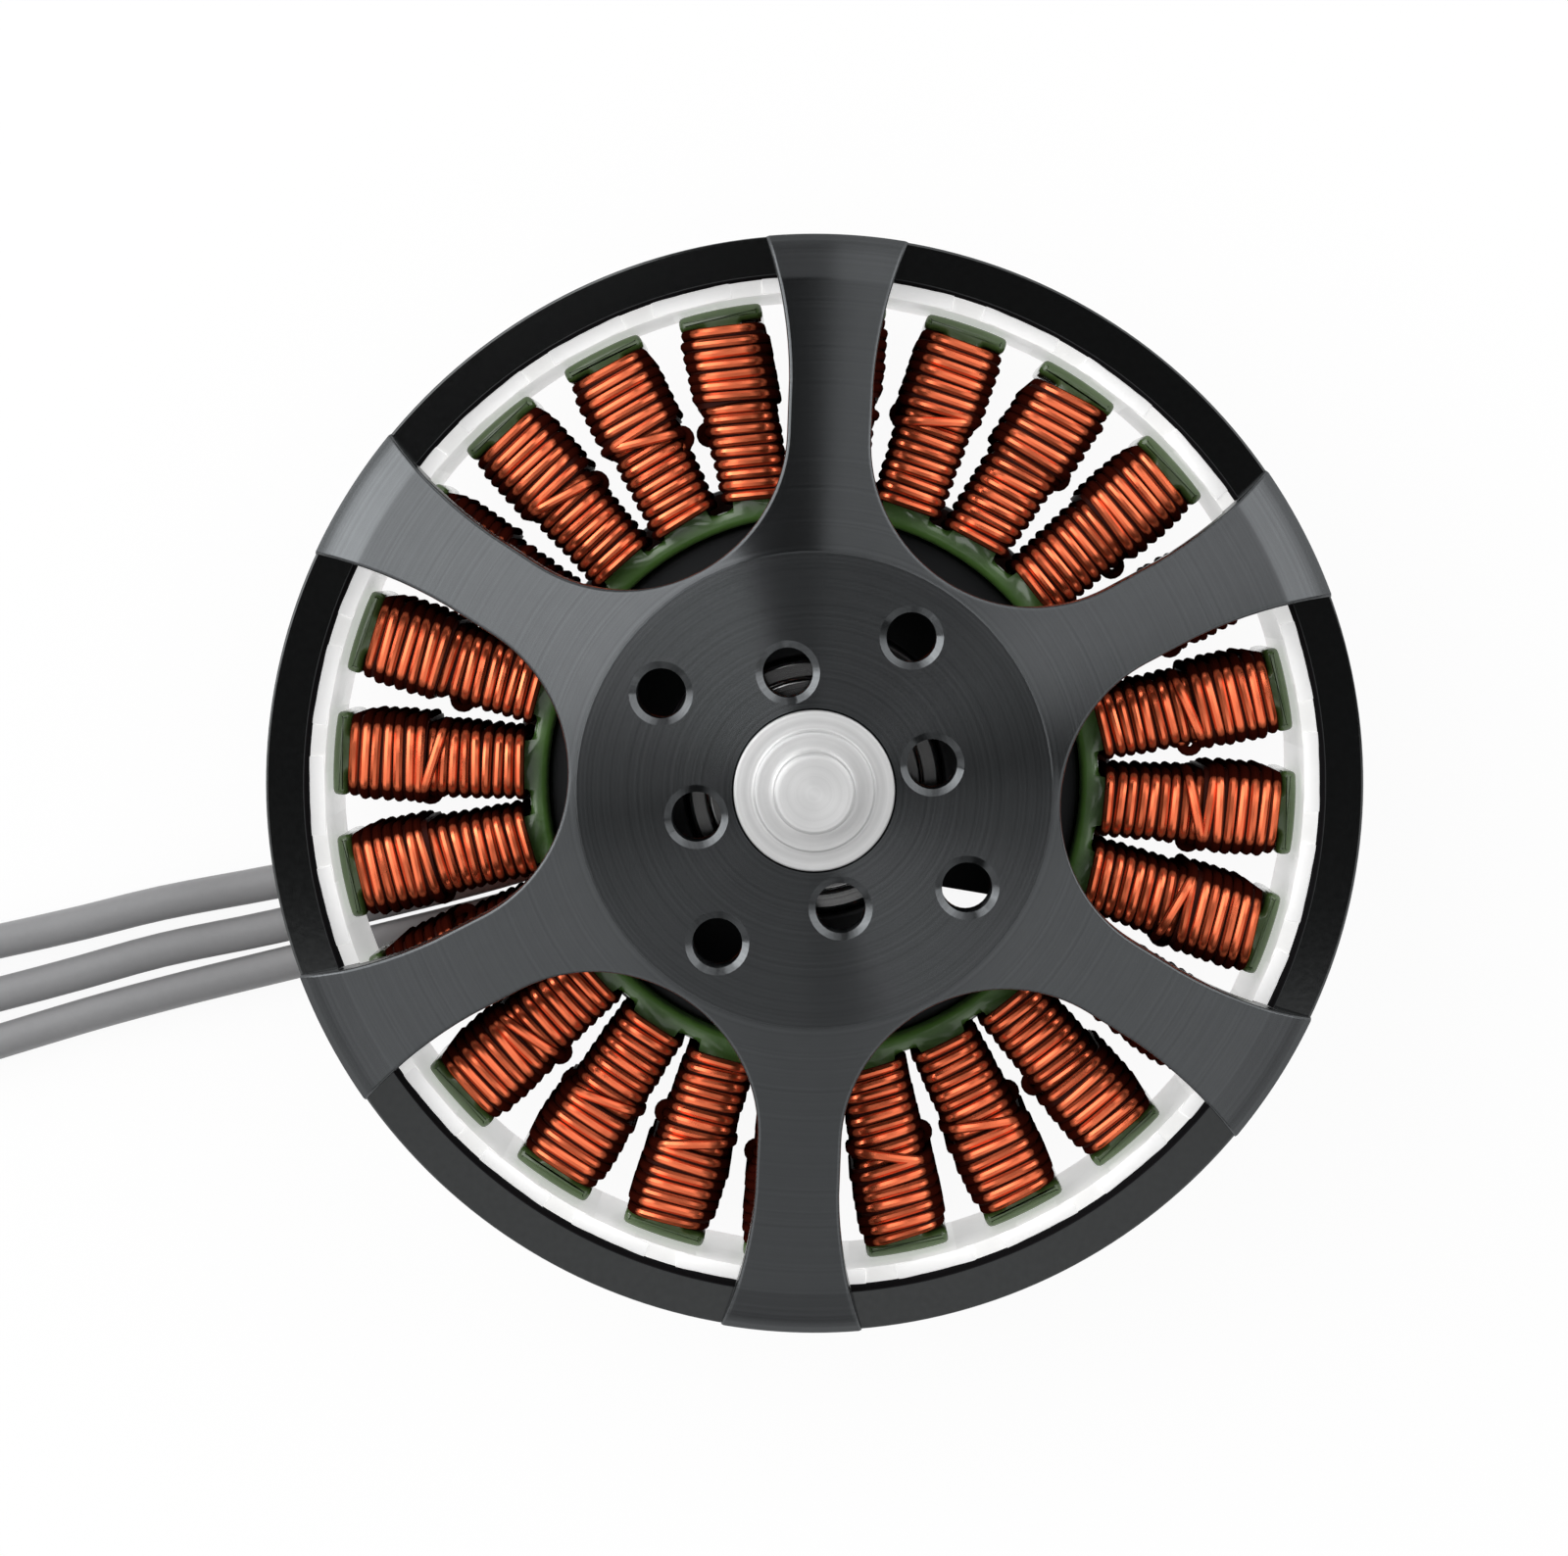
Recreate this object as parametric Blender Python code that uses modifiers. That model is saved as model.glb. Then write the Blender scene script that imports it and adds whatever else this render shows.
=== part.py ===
"""Outrunner brushless motor for a multirotor: 24-tooth wound stator inside a 28-magnet rotor.

The motor stands on its mounting base with its shaft along +Z, and the origin is on the shaft's
axis at the underside of the base. Lengths are in metres.
"""

import math

import bmesh
import bpy

# Rotor ring and magnets
RING_DIAMETER = 0.0556
RING_WALL = 0.0017
RING_HEIGHT = 0.0140
RING_ABOVE_MAGNETS = 0.0020
MAGNET_COUNT = 28
MAGNET_WIDTH = 0.0041
MAGNET_THICKNESS = 0.0011
MAGNET_LENGTH = 0.0100
MAGNET_ANGLE = math.radians(1.4)
AIR_GAP = 0.00025

# Bell: hub, six arms and their feet
ARM_COUNT = 6
ARM_ANGLE = math.radians(27.6)
ARM_WIDTH = 0.0042
ARM_FLARE_RADIUS = 0.0225
ARM_FLARE_START = 0.0195
WINDOW_RADIUS = 0.00805
HUB_DIAMETER = 0.0238
HUB_THICKNESS = 0.0034
HUB_ABOVE_RING = 0.0048
HUB_BOSS_DIAMETER = 0.0088
HUB_EDGE = 0.0002
SHOULDER_WIDTH = 0.0023
SHOULDER_HEIGHT = 0.0016
SHOULDER_ROUND = 0.0006
FOOT_EDGE = 0.0005
SPIGOT_DEPTH = 0.0009
SPIGOT_WALL = 0.0009
THREAD_HOLE_DIAMETER = 0.0025
THREAD_CHAMFER = 0.00035
INNER_CIRCLE = 0.0120
INNER_CIRCLE_ANGLE = math.radians(12.6)
OUTER_CIRCLE = 0.0180
OUTER_CIRCLE_ANGLE = math.radians(57.6)
HUB_CIRCLE_HOLES = 4

# Stator
TOOTH_COUNT = 24
TOOTH_ANGLE = math.radians(11.4)
TOOTH_WIDTH = 0.0019
TIP_LENGTH = 0.0043
TIP_THICKNESS = 0.0008
TIP_ROUND = 0.0003
STACK_HEIGHT = 0.0080
YOKE_DIAMETER = 0.0292
YOKE_BORE = 0.0274

# Coils
COIL_TURNS = 10
COIL_STEP_TURN = 5
COIL_ROOT_GAP = 0.0002
COIL_TIP_GAP = 0.0003
WINDING_AT_ROOT = 0.00065
WINDING_AT_STEP = 0.00100
WINDING_OUTER = 0.00130
CROWN_INNER = 0.00150
CROWN_OUTER = 0.00185
CROWN_BOW = 0.0008
TURN_DEPTH = 0.0002

# Base
FLANGE_DIAMETER = 0.0320
FLANGE_THICKNESS = 0.0040
FLANGE_EDGE = 0.0004
STATOR_SEAT_HEIGHT = 0.0086
STATOR_SEAT_WIDTH = 0.0004
SLEEVE_WALL = 0.0015
SLEEVE_ENGAGEMENT = 0.0065
TUBE_WALL = 0.0015
BEARING_SHOULDER = 0.0008
MOUNT_HOLE_COUNT = 4
MOUNT_CIRCLE = 0.0250
MOUNT_HOLE_ANGLE = math.radians(-24)
MOUNT_HOLE_DEPTH = 0.0034
BASE_WINDOW_COUNT = 2
BASE_WINDOW_ANGLE = math.radians(-69.3)
BASE_WINDOW_INNER_SPAN = math.radians(44.8)
BASE_WINDOW_OUTER_SPAN = math.radians(70)
BASE_WINDOW_MARGIN = 0.0002
LEAD_CHANNEL_ANGLE = math.radians(196.8)
LEAD_CHANNEL_WIDTH = 0.0072
LEAD_CHANNEL_DEPTH = 0.0021
LEAD_CHANNEL_START = 0.0136

# Shaft, bearings, clip and shim
SHAFT_DIAMETER = 0.0060
SHAFT_END_RECESS = 0.0005
SHAFT_CHAMFER = 0.0003
NOSE_FLANGE_DIAMETER = 0.0080
NOSE_FLANGE_THICKNESS = 0.0012
NOSE_FLANGE_PROUD = 0.0003
NOSE_BOSS_HEIGHT = 0.0008
NOSE_STUB_DIAMETER = 0.0040
NOSE_STUB_HEIGHT = 0.0019
BEARING_DIAMETER = 0.0130
BEARING_WIDTH = 0.0050
INNER_RACE_WALL = 0.00095
OUTER_RACE_WALL = 0.00110
BALL_DIAMETER = 0.0019
BALL_COUNT = 7
RACEWAY_DEPTH = 0.0003
SHIELD_THICKNESS = 0.00025
SHIELD_INSET = 0.0003
CAGE_THICKNESS = 0.0003
CAGE_HEIGHT = 0.0006
BEARING_BELOW_TUBE_TOP = 0.0001
TUBE_ABOVE_STACK = 0.0026
CLIP_RECESS = 0.0012
CLIP_THICKNESS = 0.0006
CLIP_GROOVE_DEPTH = 0.0004
CLIP_WIDTH = 0.0013
CLIP_OPENING = math.radians(70)
SHIM_THICKNESS = 0.0004
SHIM_WALL = 0.0008

# Leads and their bullet connectors
LEAD_DIAMETER = 0.0019
CONNECTOR_DIAMETER = 0.0035
CONNECTOR_CUP_DIAMETER = 0.0034
CONNECTOR_CUP_LENGTH = 0.0045
CONNECTOR_NECK_DIAMETER = 0.0026
CONNECTOR_NECK_LENGTH = 0.0012
CONNECTOR_BARREL_LENGTH = 0.0078
CONNECTOR_TIP_LENGTH = 0.0008
LEAD_SPACING = 0.0055
LEAD_ROUTES = {
    "lead_1": [
        (-0.01420, -0.00212, 0.00335), (-0.01700, -0.00315, 0.00300), (-0.02200, -0.00460, 0.00190),
        (-0.02960, -0.00620, 0.00106), (-0.03580, -0.00738, 0.00098), (-0.04230, -0.00895, 0.00098),
        (-0.05600, -0.01180, 0.00098), (-0.07000, -0.01400, 0.00098), (-0.08200, -0.01530, 0.00135),
        (-0.09140, -0.01600, 0.00180),
    ],
    "lead_2": [
        (-0.01350, -0.00420, 0.00335), (-0.01640, -0.00525, 0.00300), (-0.02160, -0.00670, 0.00190),
        (-0.02960, -0.00866, 0.00106), (-0.03580, -0.00996, 0.00098), (-0.04230, -0.01176, 0.00098),
        (-0.05600, -0.01530, 0.00098), (-0.06900, -0.01850, 0.00098), (-0.08050, -0.02080, 0.00135),
        (-0.09000, -0.02240, 0.00180),
    ],
    "lead_3": [
        (-0.01290, -0.00626, 0.00335), (-0.01570, -0.00725, 0.00300), (-0.02100, -0.00870, 0.00190),
        (-0.02960, -0.01085, 0.00106), (-0.03580, -0.01240, 0.00098), (-0.04230, -0.01425, 0.00098),
        (-0.05500, -0.01830, 0.00098), (-0.06700, -0.02290, 0.00098), (-0.07800, -0.02720, 0.00135),
        (-0.08700, -0.03060, 0.00180),
    ],
}

# Clearances and facets
SEAT_GAP = 0.00005
FIT_GAP = 0.00005
LEAD_GAP = 0.0003
CUT_OVERRUN = 0.001
RING_STEPS = 84
BELL_STEPS = 60
BASE_STEPS = 36
SHAFT_STEPS = 24
BEARING_STEPS = 20
CAGE_STEPS = 14
HOLE_STEPS = 12
CONNECTOR_STEPS = 12
WINDOW_END_POINTS = 13
WINDOW_SIDE_POINTS = 5
WINDOW_OUTSIDE_POINTS = 7
WINDOW_ARC_POINTS = 9
CLIP_POINTS = 19
ROUTE_STEPS = 20
WELD_DISTANCE = 0.000001
SHARP_ANGLE = math.radians(35)

# Radii that follow from the sizes above
ring_radius = RING_DIAMETER / 2
ring_bore_radius = ring_radius - RING_WALL
magnet_face_radius = ring_bore_radius - MAGNET_THICKNESS
stator_radius = magnet_face_radius - AIR_GAP
tip_under_radius = stator_radius - TIP_THICKNESS
yoke_radius = YOKE_DIAMETER / 2
yoke_bore_radius = YOKE_BORE / 2
sleeve_radius = yoke_bore_radius - FIT_GAP
sleeve_bore_radius = sleeve_radius - SLEEVE_WALL
bearing_radius = BEARING_DIAMETER / 2
tube_bore_radius = bearing_radius + FIT_GAP
tube_radius = tube_bore_radius + TUBE_WALL
shaft_radius = SHAFT_DIAMETER / 2
hub_radius = HUB_DIAMETER / 2

# Heights, from the underside of the base upwards
clip_bottom = CLIP_RECESS
clip_top = clip_bottom + CLIP_THICKNESS
lower_bearing_bottom = clip_top + SEAT_GAP
lower_bearing_top = lower_bearing_bottom + BEARING_WIDTH
stack_bottom = STATOR_SEAT_HEIGHT + SEAT_GAP
stack_top = stack_bottom + STACK_HEIGHT
stack_middle = (stack_bottom + stack_top) / 2
magnet_top = stack_middle + MAGNET_LENGTH / 2
magnet_bottom = stack_middle - MAGNET_LENGTH / 2
ring_top = magnet_top + RING_ABOVE_MAGNETS
ring_bottom = ring_top - RING_HEIGHT
foot_seat = ring_top + SEAT_GAP
hub_top = ring_top + HUB_ABOVE_RING
hub_underside = hub_top - HUB_THICKNESS
tube_top = stack_top + TUBE_ABOVE_STACK
upper_bearing_top = tube_top - BEARING_BELOW_TUBE_TOP
upper_bearing_bottom = upper_bearing_top - BEARING_WIDTH
shim_bottom = upper_bearing_top + SEAT_GAP
shim_top = shim_bottom + SHIM_THICKNESS
hub_boss_bottom = shim_top + SEAT_GAP
nose_flange_top = hub_top + NOSE_FLANGE_PROUD
nose_flange_bottom = nose_flange_top - NOSE_FLANGE_THICKNESS


def clear_scene():
    for obj in list(bpy.data.objects):
        bpy.data.objects.remove(obj)


def make_collection(name):
    collection = bpy.data.collections.new(name)
    bpy.context.scene.collection.children.link(collection)
    return collection


def make_material(name, color, roughness, metallic):
    material = bpy.data.materials.new(name)
    material.use_nodes = True
    shader = material.node_tree.nodes["Principled BSDF"]
    shader.inputs["Base Color"].default_value = (*color, 1)
    shader.inputs["Roughness"].default_value = roughness
    shader.inputs["Metallic"].default_value = metallic
    return material


clear_scene()
PARTS = make_collection("brushless_motor")
CUTTERS = make_collection("cutters")

GREY_ANODISED = make_material("grey anodised aluminium", (0.10, 0.105, 0.11), 0.42, 0.8)
BLACK_ANODISED = make_material("black anodised aluminium", (0.02, 0.021, 0.023), 0.45, 0.6)
BLACK_STEEL = make_material("blackened steel", (0.012, 0.013, 0.014), 0.5, 0.5)
BRIGHT_STEEL = make_material("bright steel", (0.62, 0.62, 0.61), 0.25, 1.0)
GREEN_COATING = make_material("green powder coating", (0.06, 0.12, 0.04), 0.4, 0.0)
COPPER = make_material("enamelled copper wire", (0.60, 0.13, 0.05), 0.35, 0.7)
SILICONE = make_material("grey silicone", (0.11, 0.11, 0.11), 0.6, 0.0)
GOLD = make_material("gold plating", (0.75, 0.50, 0.15), 0.3, 1.0)


def polar(radius, angle):
    return (radius * math.cos(angle), radius * math.sin(angle))


def arc(center, radius, start, end, count):
    """Points from angle start to angle end round center, both ends included."""
    points = []
    for i in range(count):
        x, y = polar(radius, start + (end - start) * i / (count - 1))
        points.append((center[0] + x, center[1] + y))
    return points


def turn_point(point, angle):
    x, y = point
    return (
        x * math.cos(angle) - y * math.sin(angle),
        x * math.sin(angle) + y * math.cos(angle),
    )


def place(name, mesh, collection):
    obj = bpy.data.objects.new(name, mesh)
    collection.objects.link(obj)
    return obj


def as_cutter(obj):
    obj.hide_render = True
    obj.display_type = "WIRE"
    return obj


def turned(name, profile, steps, collection=PARTS, reaches_axis=False):
    """Turns an outline of (radius, height) points, which runs down its outer side, about Z."""
    points = [(radius, 0, height) for radius, height in profile]
    edges = [(i, i + 1) for i in range(len(points) - 1)]
    if not reaches_axis:
        edges.append((len(points) - 1, 0))
    mesh = bpy.data.meshes.new(name)
    mesh.from_pydata(points, edges, [])
    obj = place(name, mesh, collection)
    screw = obj.modifiers.new("Turn", "SCREW")
    screw.axis = "Z"
    screw.steps = steps
    screw.render_steps = steps
    screw.use_merge_vertices = True
    screw.merge_threshold = WELD_DISTANCE
    return obj


def evaluated_mesh(obj):
    bpy.context.view_layer.update()
    graph = bpy.context.evaluated_depsgraph_get()
    return bpy.data.meshes.new_from_object(obj.evaluated_get(graph), depsgraph=graph)


def welded_mesh(curve_object):
    mesh = evaluated_mesh(curve_object)
    shape = bmesh.new()
    shape.from_mesh(mesh)
    bmesh.ops.remove_doubles(shape, verts=shape.verts, dist=WELD_DISTANCE)
    shape.to_mesh(mesh)
    shape.free()
    return mesh


def mesh_from_curve(curve_object, collection):
    """Replaces a curve object by a closed mesh of the same name and place."""
    mesh = welded_mesh(curve_object)
    name = curve_object.name
    matrix = curve_object.matrix_world.copy()
    bpy.data.objects.remove(curve_object)
    obj = place(name, mesh, collection)
    obj.matrix_world = matrix
    return obj


def plate(name, outlines, bottom, top, collection=PARTS):
    """Extrudes flat outlines from height bottom to top. Outlines after the first are its holes."""
    curve = bpy.data.curves.new(name, "CURVE")
    curve.dimensions = "2D"
    curve.fill_mode = "BOTH"
    curve.extrude = (top - bottom) / 2
    for outline in outlines:
        spline = curve.splines.new("POLY")
        spline.points.add(len(outline) - 1)
        spline.use_cyclic_u = True
        for point, (x, y) in zip(spline.points, outline):
            point.co = (x, y, 0, 1)
    obj = place(name, curve, collection)
    obj.location.z = (bottom + top) / 2
    return mesh_from_curve(obj, collection)


def combine(obj, other, operation):
    step = obj.modifiers.new(operation.title() + " " + other.name, "BOOLEAN")
    step.operation = operation
    step.solver = "EXACT"
    step.object = other


def cut(obj, cutter):
    combine(obj, as_cutter(cutter), "DIFFERENCE")


def finish(obj, material):
    """Settles an object's modifiers into its mesh, shades it and gives it its material."""
    mesh = evaluated_mesh(obj)
    obj.modifiers.clear()
    obj.data = mesh
    mesh.name = obj.name
    mesh.materials.clear()
    mesh.materials.append(material)
    mesh.shade_smooth()
    mesh.set_sharp_from_angle(angle=SHARP_ANGLE)
    return obj


# Bell


def shoulder_profile():
    """The arm's outer end, rolled over from the sloping top to the rim."""
    rim_height = foot_seat + FOOT_EDGE
    start = (ring_radius - SHOULDER_WIDTH, rim_height + SHOULDER_HEIGHT)
    knee = (ring_radius - SHOULDER_ROUND, rim_height + SHOULDER_ROUND)
    return [start, knee, (ring_radius, rim_height)]


def bell_profile():
    """Half the section of hub and arms, before the windows part the arms."""
    spigot_radius = ring_bore_radius - FIT_GAP
    spigot_inside = spigot_radius - SPIGOT_WALL
    return [
        (0, hub_top),
        (hub_radius - HUB_EDGE, hub_top),
        (hub_radius, hub_top - HUB_EDGE),
        *shoulder_profile(),
        (ring_radius, foot_seat),
        (spigot_radius, foot_seat),
        (spigot_radius, foot_seat - SPIGOT_DEPTH),
        (spigot_inside, foot_seat - SPIGOT_DEPTH),
        (spigot_inside, foot_seat),
        (hub_radius, hub_underside),
        (0, hub_underside),
    ]


def boss_profile():
    """The boss under the hub, which bears on the shim. It starts inside the hub to join it."""
    boss_radius = HUB_BOSS_DIAMETER / 2
    inside_hub = hub_underside + HUB_THICKNESS / 2
    return [
        (0, inside_hub),
        (boss_radius, inside_hub),
        (boss_radius, hub_boss_bottom),
        (0, hub_boss_bottom),
    ]


def shaft_pocket_profile():
    """The hub's bore, and above it the pocket that takes the shaft's flange."""
    pocket_radius = NOSE_FLANGE_DIAMETER / 2 + 2 * FIT_GAP
    pocket_floor = nose_flange_bottom - SEAT_GAP
    bore_radius = shaft_radius + FIT_GAP
    return [
        (0, hub_top + CUT_OVERRUN),
        (pocket_radius, hub_top + CUT_OVERRUN),
        (pocket_radius, pocket_floor),
        (bore_radius, pocket_floor),
        (bore_radius, hub_boss_bottom - CUT_OVERRUN),
        (0, hub_boss_bottom - CUT_OVERRUN),
    ]


def arm_edge(along):
    """Half the arm's width at a distance along it from the axis, past the start of its flare."""
    run = along - ARM_FLARE_START
    return ARM_WIDTH / 2 + ARM_FLARE_RADIUS - math.sqrt(ARM_FLARE_RADIUS**2 - run**2)


def window_outline():
    """The gap between two arms, about +X: a round inner end between two flaring arm sides."""
    half_pitch = math.pi / ARM_COUNT
    reach = ring_radius + CUT_OVERRUN
    center = ((WINDOW_RADIUS + ARM_WIDTH / 2) / math.sin(half_pitch), 0)
    turn = math.pi / 2 + half_pitch
    inner_end = arc(center, WINDOW_RADIUS, turn, 2 * math.pi - turn, WINDOW_END_POINTS)
    side = []
    for i in range(WINDOW_SIDE_POINTS):
        along = ARM_FLARE_START + (reach - ARM_FLARE_START) * i / (WINDOW_SIDE_POINTS - 1)
        side.append(turn_point((along, arm_edge(along)), -half_pitch))
    edge_angle = math.atan2(-side[-1][1], side[-1][0])
    outside_radius = reach / math.cos(edge_angle / (WINDOW_OUTSIDE_POINTS - 1)) + CUT_OVERRUN
    outside = arc((0, 0), outside_radius, -edge_angle, edge_angle, WINDOW_OUTSIDE_POINTS)
    other_side = [(x, -y) for x, y in reversed(side)]
    return inner_end + side + outside + other_side


def hole_cutter(name, x, y, mouth, depth, pointing):
    """A drilled and countersunk hole. Its mouth faces up where pointing is 1, down where it is -1."""
    radius = THREAD_HOLE_DIAMETER / 2
    wide = radius + THREAD_CHAMFER + CUT_OVERRUN
    profile = [
        (0, CUT_OVERRUN),
        (wide, CUT_OVERRUN),
        (radius, -THREAD_CHAMFER),
        (radius, -depth),
        (0, -depth),
    ]
    cutter = turned(name, profile, HOLE_STEPS, CUTTERS, reaches_axis=True)
    cutter.location = (x, y, mouth)
    if pointing < 0:
        cutter.rotation_euler.x = math.pi
    return cutter


def make_bell():
    bell = turned("bell", bell_profile(), BELL_STEPS, reaches_axis=True)
    boss = turned("hub_boss", boss_profile(), SHAFT_STEPS, CUTTERS, reaches_axis=True)
    combine(bell, as_cutter(boss), "UNION")
    cut(bell, turned("shaft_pocket", shaft_pocket_profile(), SHAFT_STEPS, CUTTERS, reaches_axis=True))
    for i in range(ARM_COUNT):
        angle = ARM_ANGLE + (i + 0.5) * 2 * math.pi / ARM_COUNT
        outline = [turn_point(point, angle) for point in window_outline()]
        bottom = foot_seat - SPIGOT_DEPTH - CUT_OVERRUN
        window = plate(f"bell_window_{i + 1}", [outline], bottom, hub_top + CUT_OVERRUN, CUTTERS)
        cut(bell, window)
    circles = (("inner", INNER_CIRCLE, INNER_CIRCLE_ANGLE), ("outer", OUTER_CIRCLE, OUTER_CIRCLE_ANGLE))
    for circle, diameter, first in circles:
        for i in range(HUB_CIRCLE_HOLES):
            x, y = polar(diameter / 2, first + i * 2 * math.pi / HUB_CIRCLE_HOLES)
            depth = HUB_THICKNESS + CUT_OVERRUN
            cut(bell, hole_cutter(f"{circle}_hole_{i + 1}", x, y, hub_top, depth, 1))
    return finish(bell, GREY_ANODISED)


# Rotor ring with its magnets


def magnet_ring_outline():
    """The inner outline of the magnets, which are glued round the bore with gaps between them."""
    outline = []
    half_width = MAGNET_WIDTH / 2
    for i in range(MAGNET_COUNT):
        angle = MAGNET_ANGLE + i * 2 * math.pi / MAGNET_COUNT
        corners = (
            (ring_bore_radius, -half_width),
            (magnet_face_radius, -half_width),
            (magnet_face_radius, half_width),
            (ring_bore_radius, half_width),
        )
        outline.extend(turn_point(corner, angle) for corner in corners)
    return outline


def make_flux_ring():
    profile = [
        (ring_bore_radius, ring_top),
        (ring_radius, ring_top),
        (ring_radius, ring_bottom),
        (ring_bore_radius, ring_bottom),
    ]
    ring = turned("flux_ring", profile, RING_STEPS)
    inside_wall = arc((0, 0), ring_bore_radius + RING_WALL / 2, 0, 2 * math.pi, RING_STEPS + 1)[:-1]
    outlines = [inside_wall, magnet_ring_outline()]
    combine(ring, as_cutter(plate("magnets", outlines, magnet_bottom, magnet_top, CUTTERS)), "UNION")
    return finish(ring, BLACK_STEEL)


# Stator


def tooth_outline():
    """One tooth along +X, from the yoke round its tip and back."""
    half = TOOTH_WIDTH / 2
    tip = TIP_LENGTH / 2
    root = math.sqrt(yoke_radius**2 - half**2)
    under = math.sqrt(tip_under_radius**2 - half**2)
    under_end = math.sqrt(tip_under_radius**2 - tip**2)
    outer_end = math.sqrt(stator_radius**2 - tip**2)
    lower_side = [
        (root, -half),
        (under, -half),
        (under_end, -tip + TIP_ROUND),
        ((under_end + outer_end) / 2, -tip),
        (outer_end, -tip + TIP_ROUND),
    ]
    upper_side = [(x, -y) for x, y in reversed(lower_side)]
    return lower_side + [(stator_radius, 0)] + upper_side


def make_stator_core():
    outline = []
    for i in range(TOOTH_COUNT):
        angle = TOOTH_ANGLE + i * 2 * math.pi / TOOTH_COUNT
        outline.extend(turn_point(point, angle) for point in tooth_outline())
    bore = arc((0, 0), yoke_bore_radius, 0, 2 * math.pi, BASE_STEPS + 1)[:-1]
    core = plate("stator_core", [outline, bore], stack_bottom, stack_top)
    return finish(core, GREEN_COATING)


def coil_stations():
    """(radius, half width, half height) of each turn's valley and crest along a tooth."""
    tooth_side = TOOTH_WIDTH / 2 + FIT_GAP
    tooth_face = STACK_HEIGHT / 2 + FIT_GAP
    start = yoke_radius + COIL_ROOT_GAP
    pitch = (math.sqrt(tip_under_radius**2 - (TIP_LENGTH / 2) ** 2) - COIL_TIP_GAP - start) / COIL_TURNS
    stations = [(start, tooth_side + WINDING_AT_ROOT - TURN_DEPTH, tooth_face + CROWN_INNER - TURN_DEPTH)]
    for turn in range(COIL_TURNS):
        share = min(turn / COIL_STEP_TURN, 1)
        winding = WINDING_AT_ROOT + (WINDING_AT_STEP - WINDING_AT_ROOT) * share
        crown = CROWN_INNER
        if turn >= COIL_STEP_TURN:
            winding = WINDING_OUTER
            crown = CROWN_OUTER
        width = tooth_side + winding
        height = tooth_face + crown
        stations.append((start + (turn + 0.5) * pitch, width, height))
        stations.append((start + (turn + 1) * pitch, width - TURN_DEPTH, height - TURN_DEPTH))
    return stations


def set_section(verts, radius, half_width, side_height, middle_height):
    """Moves a six-sided section of the coil: four corners and the middle of each end turn."""
    for vert in verts:
        middle = abs(vert.co.y) < FIT_GAP
        height = middle_height if middle else side_height
        vert.co.x = radius
        vert.co.y = 0 if middle else math.copysign(half_width, vert.co.y)
        vert.co.z = math.copysign(height, vert.co.z)


def pull_section(shape, edges, *section):
    made = bmesh.ops.extrude_edge_only(shape, edges=edges)["geom"]
    verts = [item for item in made if isinstance(item, bmesh.types.BMVert)]
    set_section(verts, *section)
    return [
        item
        for item in made
        if isinstance(item, bmesh.types.BMEdge) and all(vert in verts for vert in item.verts)
    ]


def coil_mesh():
    """The coil of one tooth along +X: turns on the outside and the tooth's slot through it."""
    shape = bmesh.new()
    stations = coil_stations()
    first = bmesh.ops.create_circle(shape, segments=6, radius=1)["verts"]
    for vert in first:
        vert.co = (0, vert.co.x, vert.co.y)
    radius, width, height = stations[0]
    set_section(first, radius, width, height - CROWN_BOW, height)
    first_edges = list(shape.edges)
    edges = first_edges
    for radius, width, height in stations[1:]:
        edges = pull_section(shape, edges, radius, width, height - CROWN_BOW, height)
    slot_width = TOOTH_WIDTH / 2 + FIT_GAP
    slot_height = STACK_HEIGHT / 2 + FIT_GAP
    for radius in (stations[-1][0], stations[0][0]):
        edges = pull_section(shape, edges, radius, slot_width, slot_height, slot_height)
    bmesh.ops.bridge_loops(shape, edges=edges + first_edges)
    bmesh.ops.recalc_face_normals(shape, faces=shape.faces)
    mesh = bpy.data.meshes.new("coil")
    shape.to_mesh(mesh)
    shape.free()
    return mesh


def make_coils():
    mesh = coil_mesh()
    mesh.materials.append(COPPER)
    for i in range(TOOTH_COUNT):
        coil = place(f"coil_{i + 1:02d}", mesh, PARTS)
        coil.location.z = stack_middle
        coil.rotation_euler.z = TOOTH_ANGLE + i * 2 * math.pi / TOOTH_COUNT


# Base


def base_profile():
    flange_radius = FLANGE_DIAMETER / 2
    seat_radius = yoke_bore_radius + STATOR_SEAT_WIDTH
    sleeve_top = stack_bottom + SLEEVE_ENGAGEMENT
    shoulder_radius = tube_bore_radius - BEARING_SHOULDER
    return [
        (tube_bore_radius, tube_top),
        (tube_radius, tube_top),
        (tube_radius, FLANGE_THICKNESS),
        (sleeve_bore_radius, FLANGE_THICKNESS),
        (sleeve_bore_radius, sleeve_top),
        (sleeve_radius, sleeve_top),
        (sleeve_radius, STATOR_SEAT_HEIGHT),
        (seat_radius, STATOR_SEAT_HEIGHT),
        (seat_radius, FLANGE_THICKNESS),
        (flange_radius - FLANGE_EDGE, FLANGE_THICKNESS),
        (flange_radius, FLANGE_THICKNESS - FLANGE_EDGE),
        (flange_radius, 0),
        (tube_bore_radius, 0),
        (tube_bore_radius, lower_bearing_top + SEAT_GAP),
        (shoulder_radius, lower_bearing_top + SEAT_GAP),
        (shoulder_radius, upper_bearing_bottom - SEAT_GAP),
        (tube_bore_radius, upper_bearing_bottom - SEAT_GAP),
    ]


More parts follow.
